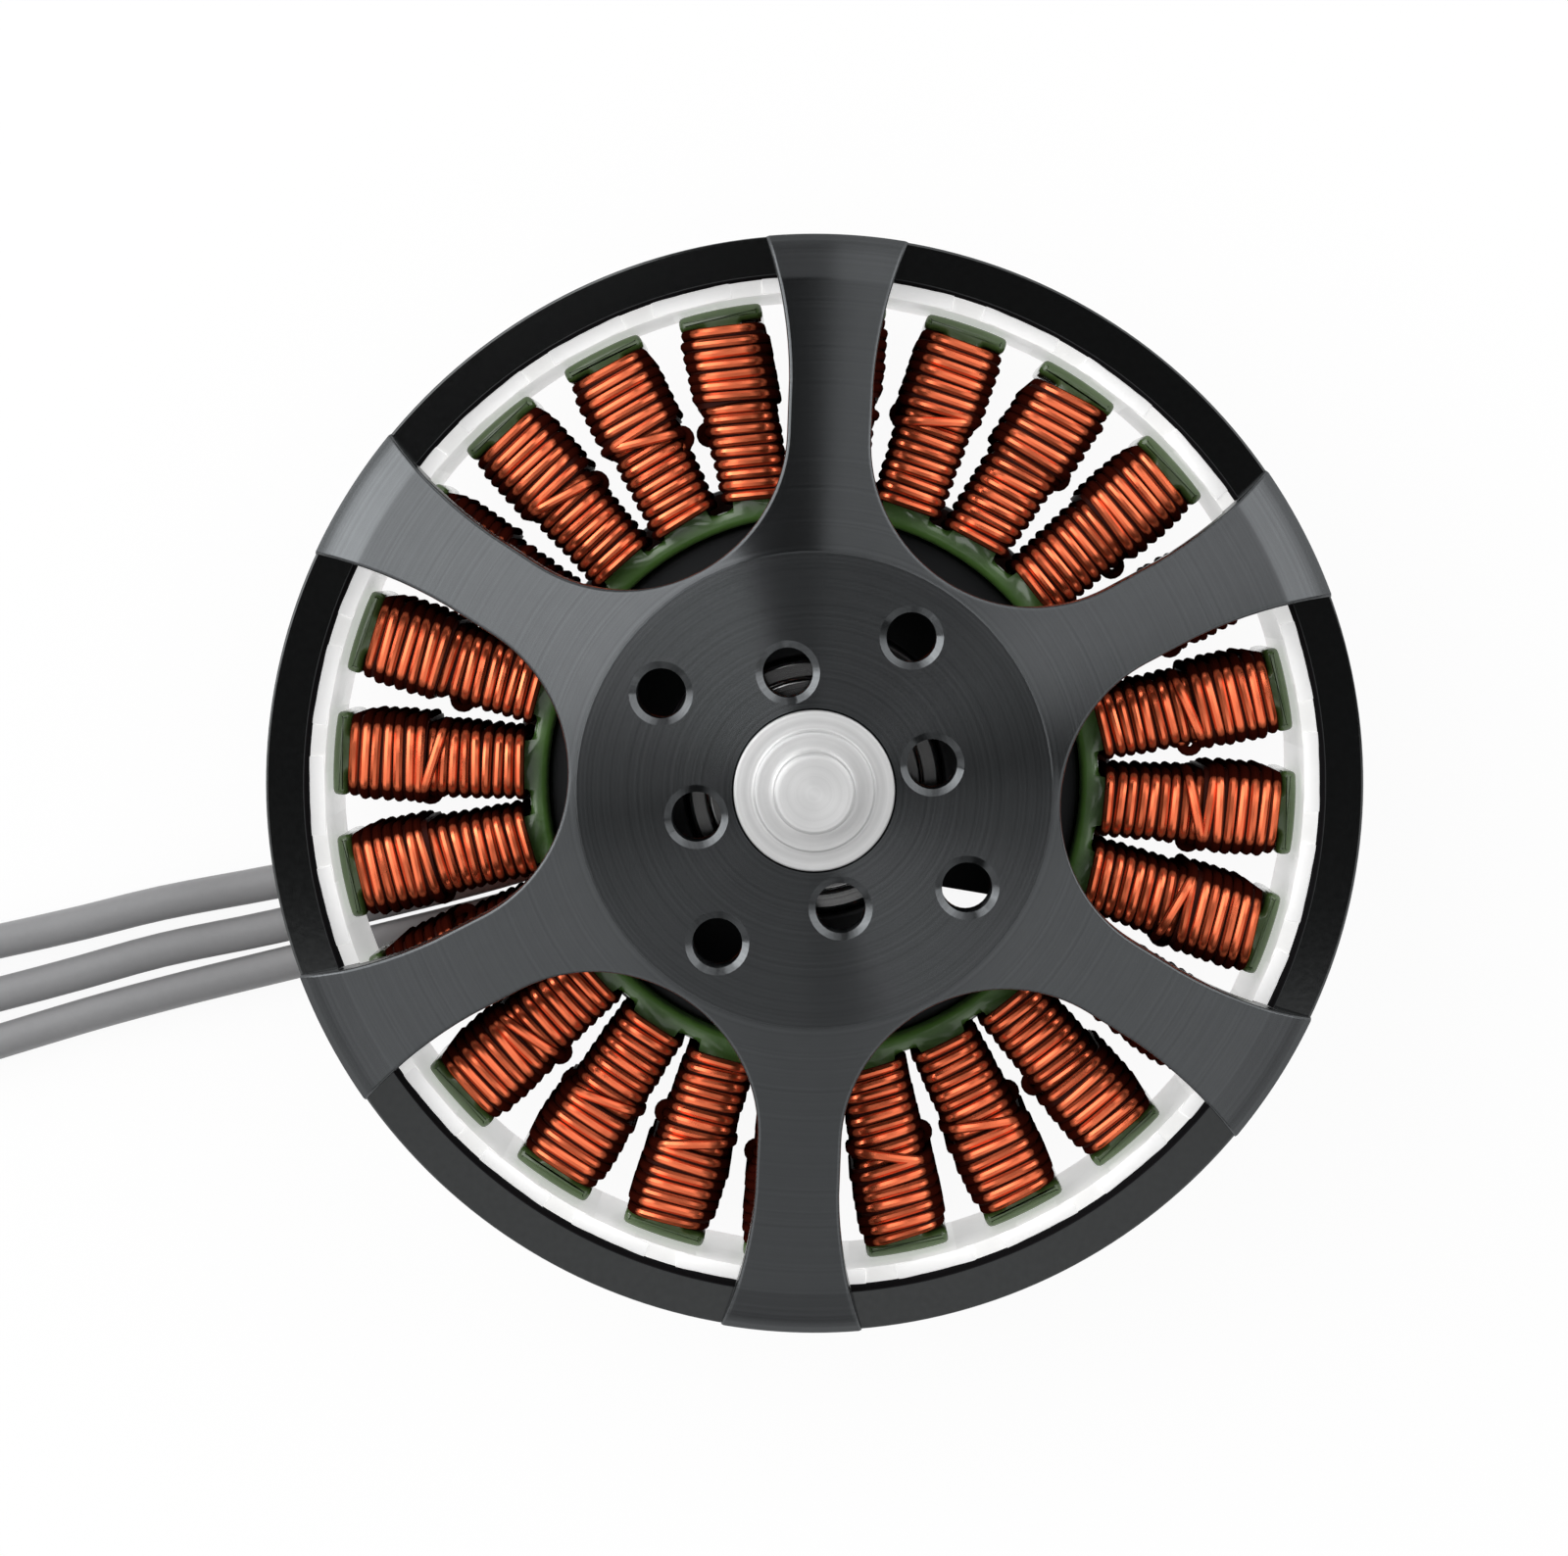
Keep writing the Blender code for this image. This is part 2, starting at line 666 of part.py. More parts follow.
def base_window_outline(middle):
    """An opening through the flange between the bearing tube and the sleeve, wider at its outer side."""
    inner_half = BASE_WINDOW_INNER_SPAN / 2
    outer_half = BASE_WINDOW_OUTER_SPAN / 2
    inner_radius = tube_radius + BASE_WINDOW_MARGIN
    outer_radius = sleeve_bore_radius - BASE_WINDOW_MARGIN
    inner = arc((0, 0), inner_radius, middle + inner_half, middle - inner_half, WINDOW_ARC_POINTS)
    outer = arc((0, 0), outer_radius, middle - outer_half, middle + outer_half, WINDOW_ARC_POINTS)
    return outer + inner


def make_base():
    base = turned("base_mount", base_profile(), BASE_STEPS)
    for i in range(BASE_WINDOW_COUNT):
        middle = BASE_WINDOW_ANGLE + i * 2 * math.pi / BASE_WINDOW_COUNT
        outline = base_window_outline(middle)
        top = FLANGE_THICKNESS + CUT_OVERRUN
        cut(base, plate(f"base_window_{i + 1}", [outline], -CUT_OVERRUN, top, CUTTERS))
    for i in range(MOUNT_HOLE_COUNT):
        x, y = polar(MOUNT_CIRCLE / 2, MOUNT_HOLE_ANGLE + i * 2 * math.pi / MOUNT_HOLE_COUNT)
        cut(base, hole_cutter(f"mount_hole_{i + 1}", x, y, 0, MOUNT_HOLE_DEPTH, -1))
    half = LEAD_CHANNEL_WIDTH / 2
    mouth = FLANGE_DIAMETER / 2 + CUT_OVERRUN
    corners = ((LEAD_CHANNEL_START, -half), (mouth, -half), (mouth, half), (LEAD_CHANNEL_START, half))
    outline = [turn_point(corner, LEAD_CHANNEL_ANGLE) for corner in corners]
    floor = FLANGE_THICKNESS - LEAD_CHANNEL_DEPTH
    cut(base, plate("lead_channel", [outline], floor, FLANGE_THICKNESS + CUT_OVERRUN, CUTTERS))
    return finish(base, BLACK_ANODISED)


# Shaft, clip, shim and bearings


def make_shaft():
    stub_radius = NOSE_STUB_DIAMETER / 2
    boss_top = nose_flange_top + NOSE_BOSS_HEIGHT
    stub_top = boss_top + NOSE_STUB_HEIGHT
    flange_radius = NOSE_FLANGE_DIAMETER / 2
    groove_radius = shaft_radius - CLIP_GROOVE_DEPTH
    profile = [
        (0, stub_top),
        (stub_radius - SHAFT_CHAMFER, stub_top),
        (stub_radius, stub_top - SHAFT_CHAMFER),
        (stub_radius, boss_top),
        (shaft_radius, boss_top),
        (shaft_radius, nose_flange_top),
        (flange_radius, nose_flange_top),
        (flange_radius, nose_flange_bottom),
        (shaft_radius, nose_flange_bottom),
        (shaft_radius, clip_top + SEAT_GAP),
        (groove_radius, clip_top + SEAT_GAP),
        (groove_radius, clip_bottom - SEAT_GAP),
        (shaft_radius, clip_bottom - SEAT_GAP),
        (shaft_radius, SHAFT_END_RECESS + SHAFT_CHAMFER),
        (shaft_radius - SHAFT_CHAMFER, SHAFT_END_RECESS),
        (0, SHAFT_END_RECESS),
    ]
    return finish(turned("shaft", profile, SHAFT_STEPS, reaches_axis=True), BRIGHT_STEEL)


def make_clip():
    """An open retaining ring, which snaps into the shaft's groove."""
    inner_radius = shaft_radius - CLIP_GROOVE_DEPTH + FIT_GAP
    outer_radius = inner_radius + CLIP_WIDTH
    start = CLIP_OPENING / 2
    end = 2 * math.pi - start
    outer_edge = arc((0, 0), outer_radius, start, end, CLIP_POINTS)
    outline = outer_edge + arc((0, 0), inner_radius, end, start, CLIP_POINTS)
    return finish(plate("retaining_clip", [outline], clip_bottom, clip_top), BRIGHT_STEEL)


def ring_profile(inner, outer, bottom, top):
    return [(inner, top), (outer, top), (outer, bottom), (inner, bottom)]


def make_shim():
    inner = shaft_radius + FIT_GAP
    profile = ring_profile(inner, inner + SHIM_WALL, shim_bottom, shim_top)
    return finish(turned("shim_washer", profile, BEARING_STEPS), BRIGHT_STEEL)


def make_ball_set(name, middle):
    """Balls at an even spacing, held by one ribbon cage."""
    inner_wall = shaft_radius + FIT_GAP + INNER_RACE_WALL
    outer_wall = bearing_radius - OUTER_RACE_WALL
    pitch_radius = (inner_wall + outer_wall) / 2
    half = CAGE_THICKNESS / 2
    bottom = middle - CAGE_HEIGHT / 2
    profile = ring_profile(pitch_radius - half, pitch_radius + half, bottom, bottom + CAGE_HEIGHT)
    cage = turned(name, profile, CAGE_STEPS)
    for i in range(BALL_COUNT):
        x, y = polar(pitch_radius, i * 2 * math.pi / BALL_COUNT)
        mesh = bpy.data.meshes.new(f"{name}_{i + 1}")
        shape = bmesh.new()
        bmesh.ops.create_uvsphere(shape, u_segments=6, v_segments=4, radius=BALL_DIAMETER / 2)
        shape.to_mesh(mesh)
        shape.free()
        ball = place(mesh.name, mesh, CUTTERS)
        ball.location = (x, y, middle)
        combine(cage, as_cutter(ball), "UNION")
    return finish(cage, BRIGHT_STEEL)


def make_bearing(place_name, bottom):
    """A shielded ball bearing: two races, a caged ball set and a shield on each side."""
    top = bottom + BEARING_WIDTH
    middle = (bottom + top) / 2
    inner_bore = shaft_radius + FIT_GAP
    inner_wall = inner_bore + INNER_RACE_WALL
    outer_wall = bearing_radius - OUTER_RACE_WALL
    half_groove = BALL_DIAMETER / 2
    inner_race = [
        (inner_bore, top),
        (inner_wall, top),
        (inner_wall, middle + half_groove),
        (inner_wall - RACEWAY_DEPTH, middle),
        (inner_wall, middle - half_groove),
        (inner_wall, bottom),
        (inner_bore, bottom),
    ]
    outer_race = [
        (outer_wall, top),
        (bearing_radius, top),
        (bearing_radius, bottom),
        (outer_wall, bottom),
        (outer_wall, middle - half_groove),
        (outer_wall + RACEWAY_DEPTH, middle),
        (outer_wall, middle + half_groove),
    ]
    finish(turned(f"{place_name}_inner_race", inner_race, BEARING_STEPS), BRIGHT_STEEL)
    finish(turned(f"{place_name}_outer_race", outer_race, BEARING_STEPS), BRIGHT_STEEL)
    make_ball_set(f"{place_name}_balls_and_cage", middle)
    shield_inner = inner_wall + 2 * FIT_GAP
    shield_outer = outer_wall - FIT_GAP
    sides = (("lower", bottom + SHIELD_INSET), ("upper", top - SHIELD_INSET - SHIELD_THICKNESS))
    for side, shield_bottom in sides:
        profile = ring_profile(shield_inner, shield_outer, shield_bottom, shield_bottom + SHIELD_THICKNESS)
        shield = turned(f"{place_name}_{side}_shield", profile, BEARING_STEPS)
        finish(shield, BRIGHT_STEEL)


# Leads and connectors


def smooth_route(points, spacing):
    """Points at an even spacing on a smooth curve through the route's own points."""
    ends = [
        tuple(2 * a - b for a, b in zip(points[0], points[1])),
        *points,
        tuple(2 * a - b for a, b in zip(points[-1], points[-2])),
    ]
    fine = []
    for i in range(1, len(ends) - 2):
        for step in range(ROUTE_STEPS):
            fine.append(spline_point(ends[i - 1 : i + 3], step / ROUTE_STEPS))
    fine.append(points[-1])
    lengths = [math.dist(a, b) for a, b in zip(fine, fine[1:])]
    count = round(sum(lengths) / spacing)
    route = [fine[0]]
    walked = 0
    for point, length in zip(fine[1:], lengths):
        walked += length
        if walked >= sum(lengths) * len(route) / count - WELD_DISTANCE:
            route.append(point)
    return route


def spline_point(corners, t):
    """A point between the two middle ones of four corners, on a Catmull-Rom curve."""
    point = []
    for a, b, c, d in zip(*corners):
        bend = 2 * a - 5 * b + 4 * c - d
        twist = 3 * b - a - 3 * c + d
        point.append((2 * b + (c - a) * t + bend * t**2 + twist * t**3) / 2)
    return tuple(point)


def make_lead(name, points):
    curve = bpy.data.curves.new(name, "CURVE")
    curve.dimensions = "3D"
    curve.bevel_depth = LEAD_DIAMETER / 2
    curve.bevel_resolution = 2
    curve.use_fill_caps = True
    route = smooth_route(points, LEAD_SPACING)
    spline = curve.splines.new("POLY")
    spline.points.add(len(route) - 1)
    for point, place_on_route in zip(spline.points, route):
        point.co = (*place_on_route, 1)
    obj = mesh_from_curve(place(name, curve, PARTS), PARTS)
    return finish(obj, SILICONE)


def make_connector(name, points):
    """A bullet connector along +Z from its solder cup, laid along the lead's last stretch."""
    cup = CONNECTOR_CUP_DIAMETER / 2
    neck = CONNECTOR_NECK_DIAMETER / 2
    barrel = CONNECTOR_DIAMETER / 2
    neck_start = CONNECTOR_CUP_LENGTH
    barrel_start = neck_start + CONNECTOR_NECK_LENGTH
    barrel_end = barrel_start + CONNECTOR_BARREL_LENGTH
    tip = barrel_end + CONNECTOR_TIP_LENGTH
    profile = [
        (0, tip),
        (neck, tip),
        (barrel, barrel_end),
        (barrel, barrel_start),
        (neck, barrel_start),
        (neck, neck_start),
        (cup, neck_start),
        (cup, 0),
        (0, 0),
    ]
    obj = turned(name, profile, CONNECTOR_STEPS, reaches_axis=True)
    end = points[-1]
    before = points[-2]
    heading = math.atan2(end[1] - before[1], end[0] - before[0])
    obj.rotation_euler = (0, math.pi / 2, heading)
    obj.location = (end[0] + LEAD_GAP * math.cos(heading), end[1] + LEAD_GAP * math.sin(heading), end[2])
    return finish(obj, GOLD)


make_base()
make_stator_core()
make_coils()
make_flux_ring()
make_bell()
make_shaft()
make_clip()
make_shim()
make_bearing("lower_bearing", lower_bearing_bottom)
make_bearing("upper_bearing", upper_bearing_bottom)
for number, (lead_name, lead_points) in enumerate(LEAD_ROUTES.items(), 1):
    make_lead(lead_name, lead_points)
    make_connector(f"connector_{number}", lead_points)
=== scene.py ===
"""Looks of an outrunner brushless motor: a wound 24-tooth stator inside a rotor with an open six-arm bell.

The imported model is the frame. Each piece here stands for one of its nodes, at the same place and
size, with the edges, turns of wire and finishes of the real part. Lengths are in metres.
"""

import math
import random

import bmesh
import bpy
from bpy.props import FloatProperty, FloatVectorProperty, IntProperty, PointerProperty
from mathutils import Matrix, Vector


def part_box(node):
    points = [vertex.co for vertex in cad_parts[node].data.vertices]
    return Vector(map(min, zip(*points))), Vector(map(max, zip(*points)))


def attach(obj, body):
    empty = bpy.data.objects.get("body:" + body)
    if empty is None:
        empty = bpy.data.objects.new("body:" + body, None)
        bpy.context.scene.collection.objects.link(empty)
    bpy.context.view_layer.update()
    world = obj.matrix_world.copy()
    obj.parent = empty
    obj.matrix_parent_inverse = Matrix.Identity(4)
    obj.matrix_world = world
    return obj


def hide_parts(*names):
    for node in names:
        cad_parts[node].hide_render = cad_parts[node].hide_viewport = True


bl_info = {
    "name": "Brushless drone motor",
    "version": (1, 0, 0),
    "blender": (4, 5, 0),
    "location": "View3D > Sidebar > Motor",
    "description": "Models an open outrunner motor with its windings, bell, leads and studio",
    "category": "Add Mesh",
}

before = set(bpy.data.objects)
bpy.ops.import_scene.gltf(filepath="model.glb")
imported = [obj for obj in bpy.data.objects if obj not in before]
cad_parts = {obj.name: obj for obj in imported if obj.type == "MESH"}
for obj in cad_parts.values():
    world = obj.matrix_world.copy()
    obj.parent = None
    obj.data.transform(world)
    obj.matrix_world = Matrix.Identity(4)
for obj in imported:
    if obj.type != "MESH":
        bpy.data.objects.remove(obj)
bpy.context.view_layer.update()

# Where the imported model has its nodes
BELL_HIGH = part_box("bell")[1]
RING_LOW, RING_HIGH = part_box("flux_ring")
CORE_LOW, CORE_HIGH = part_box("stator_core")
BASE_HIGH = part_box("base_mount")[1]
SHAFT_LOW, SHAFT_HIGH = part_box("shaft")
CLIP_LOW, CLIP_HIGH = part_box("retaining_clip")
SHIM_LOW, SHIM_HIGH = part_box("shim_washer")
CORE_MIDDLE = (CORE_LOW.z + CORE_HIGH.z) / 2

FULL_TURN = 2 * math.pi
SHARP_ANGLE = math.radians(32)
WELD = 0.000001
FILLET_STEPS = 3
FLAT_MARGIN = 0.00001    # flat strip kept at each end of a fillet
SEAT_GAP = 0.00005       # between two pieces that sit on each other
THIN_EDGE = 0.00008      # rounding of thin rings
CUTTER_REACH = 0.001     # how far a cutter stands out of the metal


def length(name, description, default):
    return FloatProperty(name=name, description=description, default=default, unit="LENGTH", precision=5)


def angle(name, description, degrees):
    turn = math.radians(degrees)
    return FloatProperty(name=name, description=description, default=turn, subtype="ANGLE")


def count(name, description, default):
    return IntProperty(name=name, description=description, default=default, min=1)


def colour(name, description, *channels):
    return FloatVectorProperty(
        name=name, description=description, default=channels, subtype="COLOR", min=0, max=1
    )


class BellSizes(bpy.types.PropertyGroup):
    """Hub, arms and threaded holes of the bell."""

    hub_diameter: length("Hub diameter", "Across the flat hub", 0.0238)
    hub_thickness: length("Hub thickness", "From the hub's face to its underside", 0.0034)
    boss_diameter: length("Boss diameter", "Across the boss that bears on the shim", 0.0088)
    pocket_diameter: length("Pocket diameter", "Round the shaft's flange", 0.0082)
    bore_diameter: length("Bore", "Round the shaft", 0.0061)
    arm_count: count("Arms", "Arms from the hub to the ring", 6)
    arm_angle: angle("Arm angle", "Direction of the first arm", 27.6)
    arm_width: length("Arm width", "Across an arm where its sides are straight", 0.0042)
    window_radius: length("Window radius", "Round inner end of the gap between two arms", 0.00805)
    flare_radius: length("Flare radius", "Of an arm's sides towards the ring", 0.0225)
    flare_start: length("Flare start", "Distance from the axis where an arm starts to widen", 0.0195)
    edge_round: length("Edge rounding", "Along the arms' edges", 0.00016)
    shoulder_width: length("Shoulder width", "Rolled-over outer end of an arm", 0.0023)
    shoulder_height: length("Shoulder height", "Fall of the shoulder to the rim", 0.0016)
    shoulder_round: length("Shoulder rounding", "Where the shoulder meets the rim", 0.0006)
    foot_edge: length("Foot edge", "Upright edge of an arm's foot at the rim", 0.0005)
    spigot_depth: length("Spigot depth", "How far the spigot reaches into the ring", 0.0009)
    spigot_wall: length("Spigot wall", "Wall of the spigot inside the ring", 0.0009)
    hole_diameter: length("Thread diameter", "Core diameter of the M3 holes", 0.0025)
    hole_chamfer: length("Countersink", "Width of the holes' countersinks", 0.00035)
    inner_circle: length("Inner hole circle", "Through the four inner holes", 0.0120)
    inner_angle: angle("Inner hole angle", "Direction of the first inner hole", 12.6)
    outer_circle: length("Outer hole circle", "Through the four outer holes", 0.0180)
    outer_angle: angle("Outer hole angle", "Direction of the first outer hole", 57.6)


class RotorSizes(bpy.types.PropertyGroup):
    """Ring and magnets of the rotor."""

    ring_wall: length("Ring wall", "Of the flux ring", 0.00198)
    magnet_count: count("Magnets", "Round the ring", 28)
    magnet_angle: angle("Magnet angle", "Direction of the first magnet", 1.4)
    magnet_width: length("Magnet width", "Along the ring", 0.0041)
    magnet_thickness: length("Magnet thickness", "Through a magnet, less its glue", 0.00078)
    magnet_face: length("Magnet face", "Distance from the axis to a magnet's inner face", 0.0250)
    magnet_length: length("Magnet length", "Along the axis", 0.0100)
    glue_depth: length("Glue depth", "How far the glue stays below a magnet's inner face", 0.00003)


class StatorSizes(bpy.types.PropertyGroup):
    """Lamination stack with its coating."""

    tooth_count: count("Teeth", "Round the yoke", 24)
    tooth_angle: angle("Tooth angle", "Direction of the first tooth", 11.4)
    tooth_width: length("Tooth width", "Across a tooth under its coil", 0.0019)
    tip_length: length("Tip length", "Across a tooth's tip", 0.0043)
    tip_thickness: length("Tip thickness", "Through a tooth's tip", 0.0008)
    tip_round: length("Tip rounding", "Corners of a tip", 0.0003)
    yoke_diameter: length("Yoke diameter", "Across the yoke ring", 0.0292)
    yoke_bore: length("Yoke bore", "Through the yoke ring", 0.0274)
    edge_round: length("Coating rounding", "Along the coated edges", 0.00032)


class WindingSizes(bpy.types.PropertyGroup):
    """Coils of enamelled wire."""

    wire_diameter: length("Wire diameter", "Of the enamelled wire", 0.00053)
    turns: count("Turns", "Wound side by side along a tooth", 16)
    root_gap: length("Root gap", "From the yoke to the first turn", 0.0002)
    tip_gap: length("Tip gap", "From the last turn to the tooth's tip", 0.00006)
    inner_turns: count("Inner turns", "Turns on the thinner inner half", 9)
    root_width: length("Width at the root", "Half the coil's width at its first turn", 0.00185)
    step_width: length("Width at the step", "Half the coil's width before its outer half", 0.00202)
    outer_width: length("Outer width", "Half the coil's width on its outer half", 0.00232)
    inner_crown: length("Inner crown", "Height of the end turns over the stack, inner half", 0.0015)
    outer_crown: length("Outer crown", "Height of the end turns over the stack, outer half", 0.00185)
    bow: length("Bow", "How far an end turn falls towards the coil's sides", 0.0008)
    looseness: length("Looseness", "How far a turn strays from its place", 0.00005)
    loop_size: length("Loop size", "Radius of the slack loop at a coil's step", 0.00042)
    seed: count("Seed", "Picks how the turns stray", 7)


class BaseSizes(bpy.types.PropertyGroup):
    """Mounting base with its bearing tube and the sleeve that carries the stator."""

    flange_thickness: length("Flange thickness", "Of the flange", 0.0040)
    seat_height: length("Seat height", "Of the shoulder under the stator", 0.0086)
    seat_width: length("Seat width", "Of the shoulder under the stator", 0.0004)
    sleeve_wall: length("Sleeve wall", "Of the sleeve", 0.0015)
    sleeve_height: length("Sleeve height", "Height of the sleeve's upper end", 0.01515)
    tube_wall: length("Tube wall", "Round the bearings", 0.0015)
    bearing_shoulder: length("Bearing shoulder", "Step that locates the bearings", 0.0008)
    edge_round: length("Edge rounding", "Along the base's edges", 0.0003)
    mount_circle: length("Mount circle", "Through the four mounting holes", 0.0250)
    mount_angle: angle("Mount hole angle", "Direction of the first mounting hole", -24)
    mount_depth: length("Mount hole depth", "Of the mounting holes", 0.0034)
    window_count: count("Windows", "Openings through the flange", 2)
    window_angle: angle("Window angle", "Direction of the first window's middle", -69.3)
    window_inner_span: angle("Inner span", "Of a window along the bearing tube", 44.8)
    window_outer_span: angle("Outer span", "Of a window along the sleeve", 70)
    window_margin: length("Window margin", "From a window to the tube and the sleeve", 0.0002)
    channel_angle: angle("Channel angle", "Direction in which the leads leave", 196.8)
    channel_width: length("Channel width", "Across the leads' channel", 0.0072)
    channel_depth: length("Channel depth", "Of the leads' channel", 0.0021)
    channel_start: length("Channel start", "Distance from the axis where the channel starts", 0.0136)


class ShaftSizes(bpy.types.PropertyGroup):
    """Shaft, its nose, clip, shim and bearings."""

    diameter: length("Shaft diameter", "Through the bearings", 0.0060)
    flange_diameter: length("Nose flange", "Across the flange in the hub", 0.0080)
    flange_thickness: length("Nose flange thickness", "Of the flange in the hub", 0.0012)
    flange_proud: length("Nose flange height", "How far the flange stands over the hub", 0.0003)
    boss_height: length("Nose boss", "Height of the step above the flange", 0.0008)
    stub_diameter: length("Stub diameter", "Across the stub on the nose", 0.0040)
    chamfer: length("Chamfer", "At the shaft's ends", 0.0003)
    groove_depth: length("Groove depth", "Of the clip's groove", 0.0004)
    clip_width: length("Clip width", "Of the retaining clip", 0.0013)
    clip_opening: angle("Clip opening", "Between the clip's ends", 70)
    bearing_diameter: length("Bearing diameter", "Outside the bearings", 0.0130)
    inner_race_wall: length("Inner race wall", "Of the bearings", 0.00095)
    outer_race_wall: length("Outer race wall", "Of the bearings", 0.00110)
    ball_diameter: length("Ball diameter", "In the bearings", 0.0019)
    ball_count: count("Balls", "In each bearing", 7)


class LeadSizes(bpy.types.PropertyGroup):
    """Leads and their bullet connectors."""

    diameter: length("Lead diameter", "Over the silicone", 0.0019)
    lead_length: length("Lead length", "From the stator to the connector", 0.0800)
    gap: length("Gap", "From a lead's end to its connector's cup", 0.0003)
    tail_diameter: length("Tail diameter", "Of the winding's end in a lead", 0.0007)
    cup_diameter: length("Cup diameter", "Of the solder cup", 0.0034)
    cup_length: length("Cup length", "Of the solder cup", 0.0045)
    neck_diameter: length("Neck diameter", "Between cup and barrel", 0.0026)
    neck_length: length("Neck length", "Between cup and barrel", 0.0012)
    barrel_diameter: length("Barrel diameter", "Of the sprung barrel", 0.0035)
    barrel_length: length("Barrel length", "Of the sprung barrel", 0.0078)
    tip_length: length("Tip length", "Of the connector's tip", 0.0008)


class FinishColours(bpy.types.PropertyGroup):
    """Colours of the materials."""

    bell: colour("Bell", "Grey anodised aluminium", 0.095, 0.100, 0.104)
    ring: colour("Ring", "Blackened steel", 0.080, 0.083, 0.084)
    base: colour("Base", "Black anodised aluminium", 0.016, 0.017, 0.019)
    steel: colour("Steel", "Turned bright steel", 0.67, 0.67, 0.67)
    nickel: colour("Nickel", "Plating of the magnets", 0.93, 0.93, 0.92)
    glue: colour("Glue", "Epoxy between the magnets", 0.80, 0.80, 0.78)
    coating: colour("Coating", "Green powder coating of the stator", 0.080, 0.182, 0.034)
    tip: colour("Tooth tips", "Coating on the teeth's tips", 0.062, 0.118, 0.026)
    copper: colour("Wire", "Enamelled copper", 1.0, 0.205, 0.088)
    # Painted shade: dark colour for wire flanks that face sideways, for wire past a coil's sides and for
    # the inner turns
    copper_painted_shade: colour("Wire at the sides", "Enamel dark with varnish", 0.030, 0.004, 0.002)
    silicone: colour("Lead", "Grey silicone", 0.23, 0.23, 0.235)
    gold: colour("Connector", "Gold plating", 0.78, 0.52, 0.17)


class StageSizes(bpy.types.PropertyGroup):
    """Camera and studio."""

    camera_height: length("Camera height", "Above the table", 0.2505)
    camera_north: length("Camera offset", "Along Y from the motor's axis", 0.0115)
    focal_length: FloatProperty(name="Focal length", description="Of the lens, in mm", default=104.8)
    light_height: length("Light height", "Of the softboxes above the table", 0.62)
    floor_size: length("Floor", "Half the floor's side", 3.0)


# Meshes


def sizes_of(group):
    return getattr(bpy.context.scene, "motor_" + group)


def polar(radius, turn, height=0.0):
    return Vector((radius * math.cos(turn), radius * math.sin(turn), height))


def filleted(*corners):
    """An outline of (x, y) points, in which each corner with a third number is rounded by that much."""
    outline = []
    for i, (x, y, *fillet) in enumerate(corners):
        here = Vector((x, y))
        if not fillet:
            outline.append(here)
            continue
        back = Vector(corners[i - 1][:2]) - here
        ahead = Vector(corners[(i + 1) % len(corners)][:2]) - here
        start = here + back.normalized() * min(fillet[0], back.length / 2 - 2 * FLAT_MARGIN)
        end = here + ahead.normalized() * min(fillet[0], ahead.length / 2 - 2 * FLAT_MARGIN)
        outline.append(start + back.normalized() * FLAT_MARGIN)
        for step in range(FILLET_STEPS + 1):
            share = step / FILLET_STEPS
            outline.append(start * (1 - share) ** 2 + here * 2 * share * (1 - share) + end * share**2)
        outline.append(end + ahead.normalized() * FLAT_MARGIN)
    return outline


def chain(shape, points, closed=False):
    """Vertices at the points, and the edges that join them."""
    verts = [shape.verts.new(point) for point in points]
    ends = verts[1:] + verts[:1] if closed else verts[1:]
    return verts + [shape.edges.new(pair) for pair in zip(verts, ends)]


def turn_round(shape, parts, turn, steps, center=Vector(), **options):
    """Turns parts of a shape round an upright axis."""
    bmesh.ops.spin(shape, geom=parts, cent=center, axis=(0, 0, 1), angle=turn, steps=steps, **options)


def spin(shape, outline, steps, on_axis=False, center=Vector()):
    """Turns a section of (radius, height) points once round. It closes on the axis or on itself."""
    points = [center + Vector((x, 0, height)) for x, height in outline]
    parts = chain(shape, points, closed=not on_axis)
    turn_round(shape, parts, FULL_TURN, steps, center, use_merge=True)


def repeat_round(shape, first_turn, number):
    """Turns a shape to its first place, and repeats it round the motor's axis."""
    bmesh.ops.rotate(shape, verts=shape.verts, matrix=Matrix.Rotation(first_turn, 3, "Z"))
    parts = shape.verts[:] + shape.edges[:] + shape.faces[:]
    turn_round(shape, parts, FULL_TURN * (1 - 1 / number), number - 1, use_duplicate=True)


def raise_faces(shape, faces, height):
    """Makes a solid from flat faces, which stay as its underside."""
    made = bmesh.ops.extrude_face_region(shape, geom=faces, use_keep_orig=True)["geom"]
    raised = [item for item in made if isinstance(item, bmesh.types.BMVert)]
    bmesh.ops.translate(shape, vec=(0, 0, height), verts=raised)


def round_edges(shape, edges, offset, segments, **options):
    return bmesh.ops.bevel(
        shape, geom=edges, offset=offset, offset_type="OFFSET", segments=segments, profile=0.5,
        affect="EDGES", material=-1, **options,
    )


def fill_openings(shape):
    bmesh.ops.holes_fill(shape, edges=[edge for edge in shape.edges if edge.is_boundary], sides=0)


def ring_outline(inner, outer, low, high, edge):
    """Section of a plain ring with rounded edges."""
    return filleted((inner, high, edge), (outer, high, edge), (outer, low, edge), (inner, low, edge))


def sheet(shape, rows, columns, place):
    """A grid whose vertices go where place(row, column) says."""
    made = bmesh.ops.create_grid(shape, x_segments=rows, y_segments=columns, size=0.5)["verts"]
    for vert in made:
        vert.co = place(round((vert.co.x + 0.5) * rows), round((vert.co.y + 0.5) * columns))
    return made


def closed_mesh(name, shape):
    """A mesh from a bmesh whose seams meet, with its faces pointing outwards."""
    bmesh.ops.remove_doubles(shape, verts=shape.verts, dist=WELD)
    bmesh.ops.recalc_face_normals(shape, faces=shape.faces)
    mesh = bpy.data.meshes.new(name)
    shape.to_mesh(mesh)
    shape.free()
    return mesh


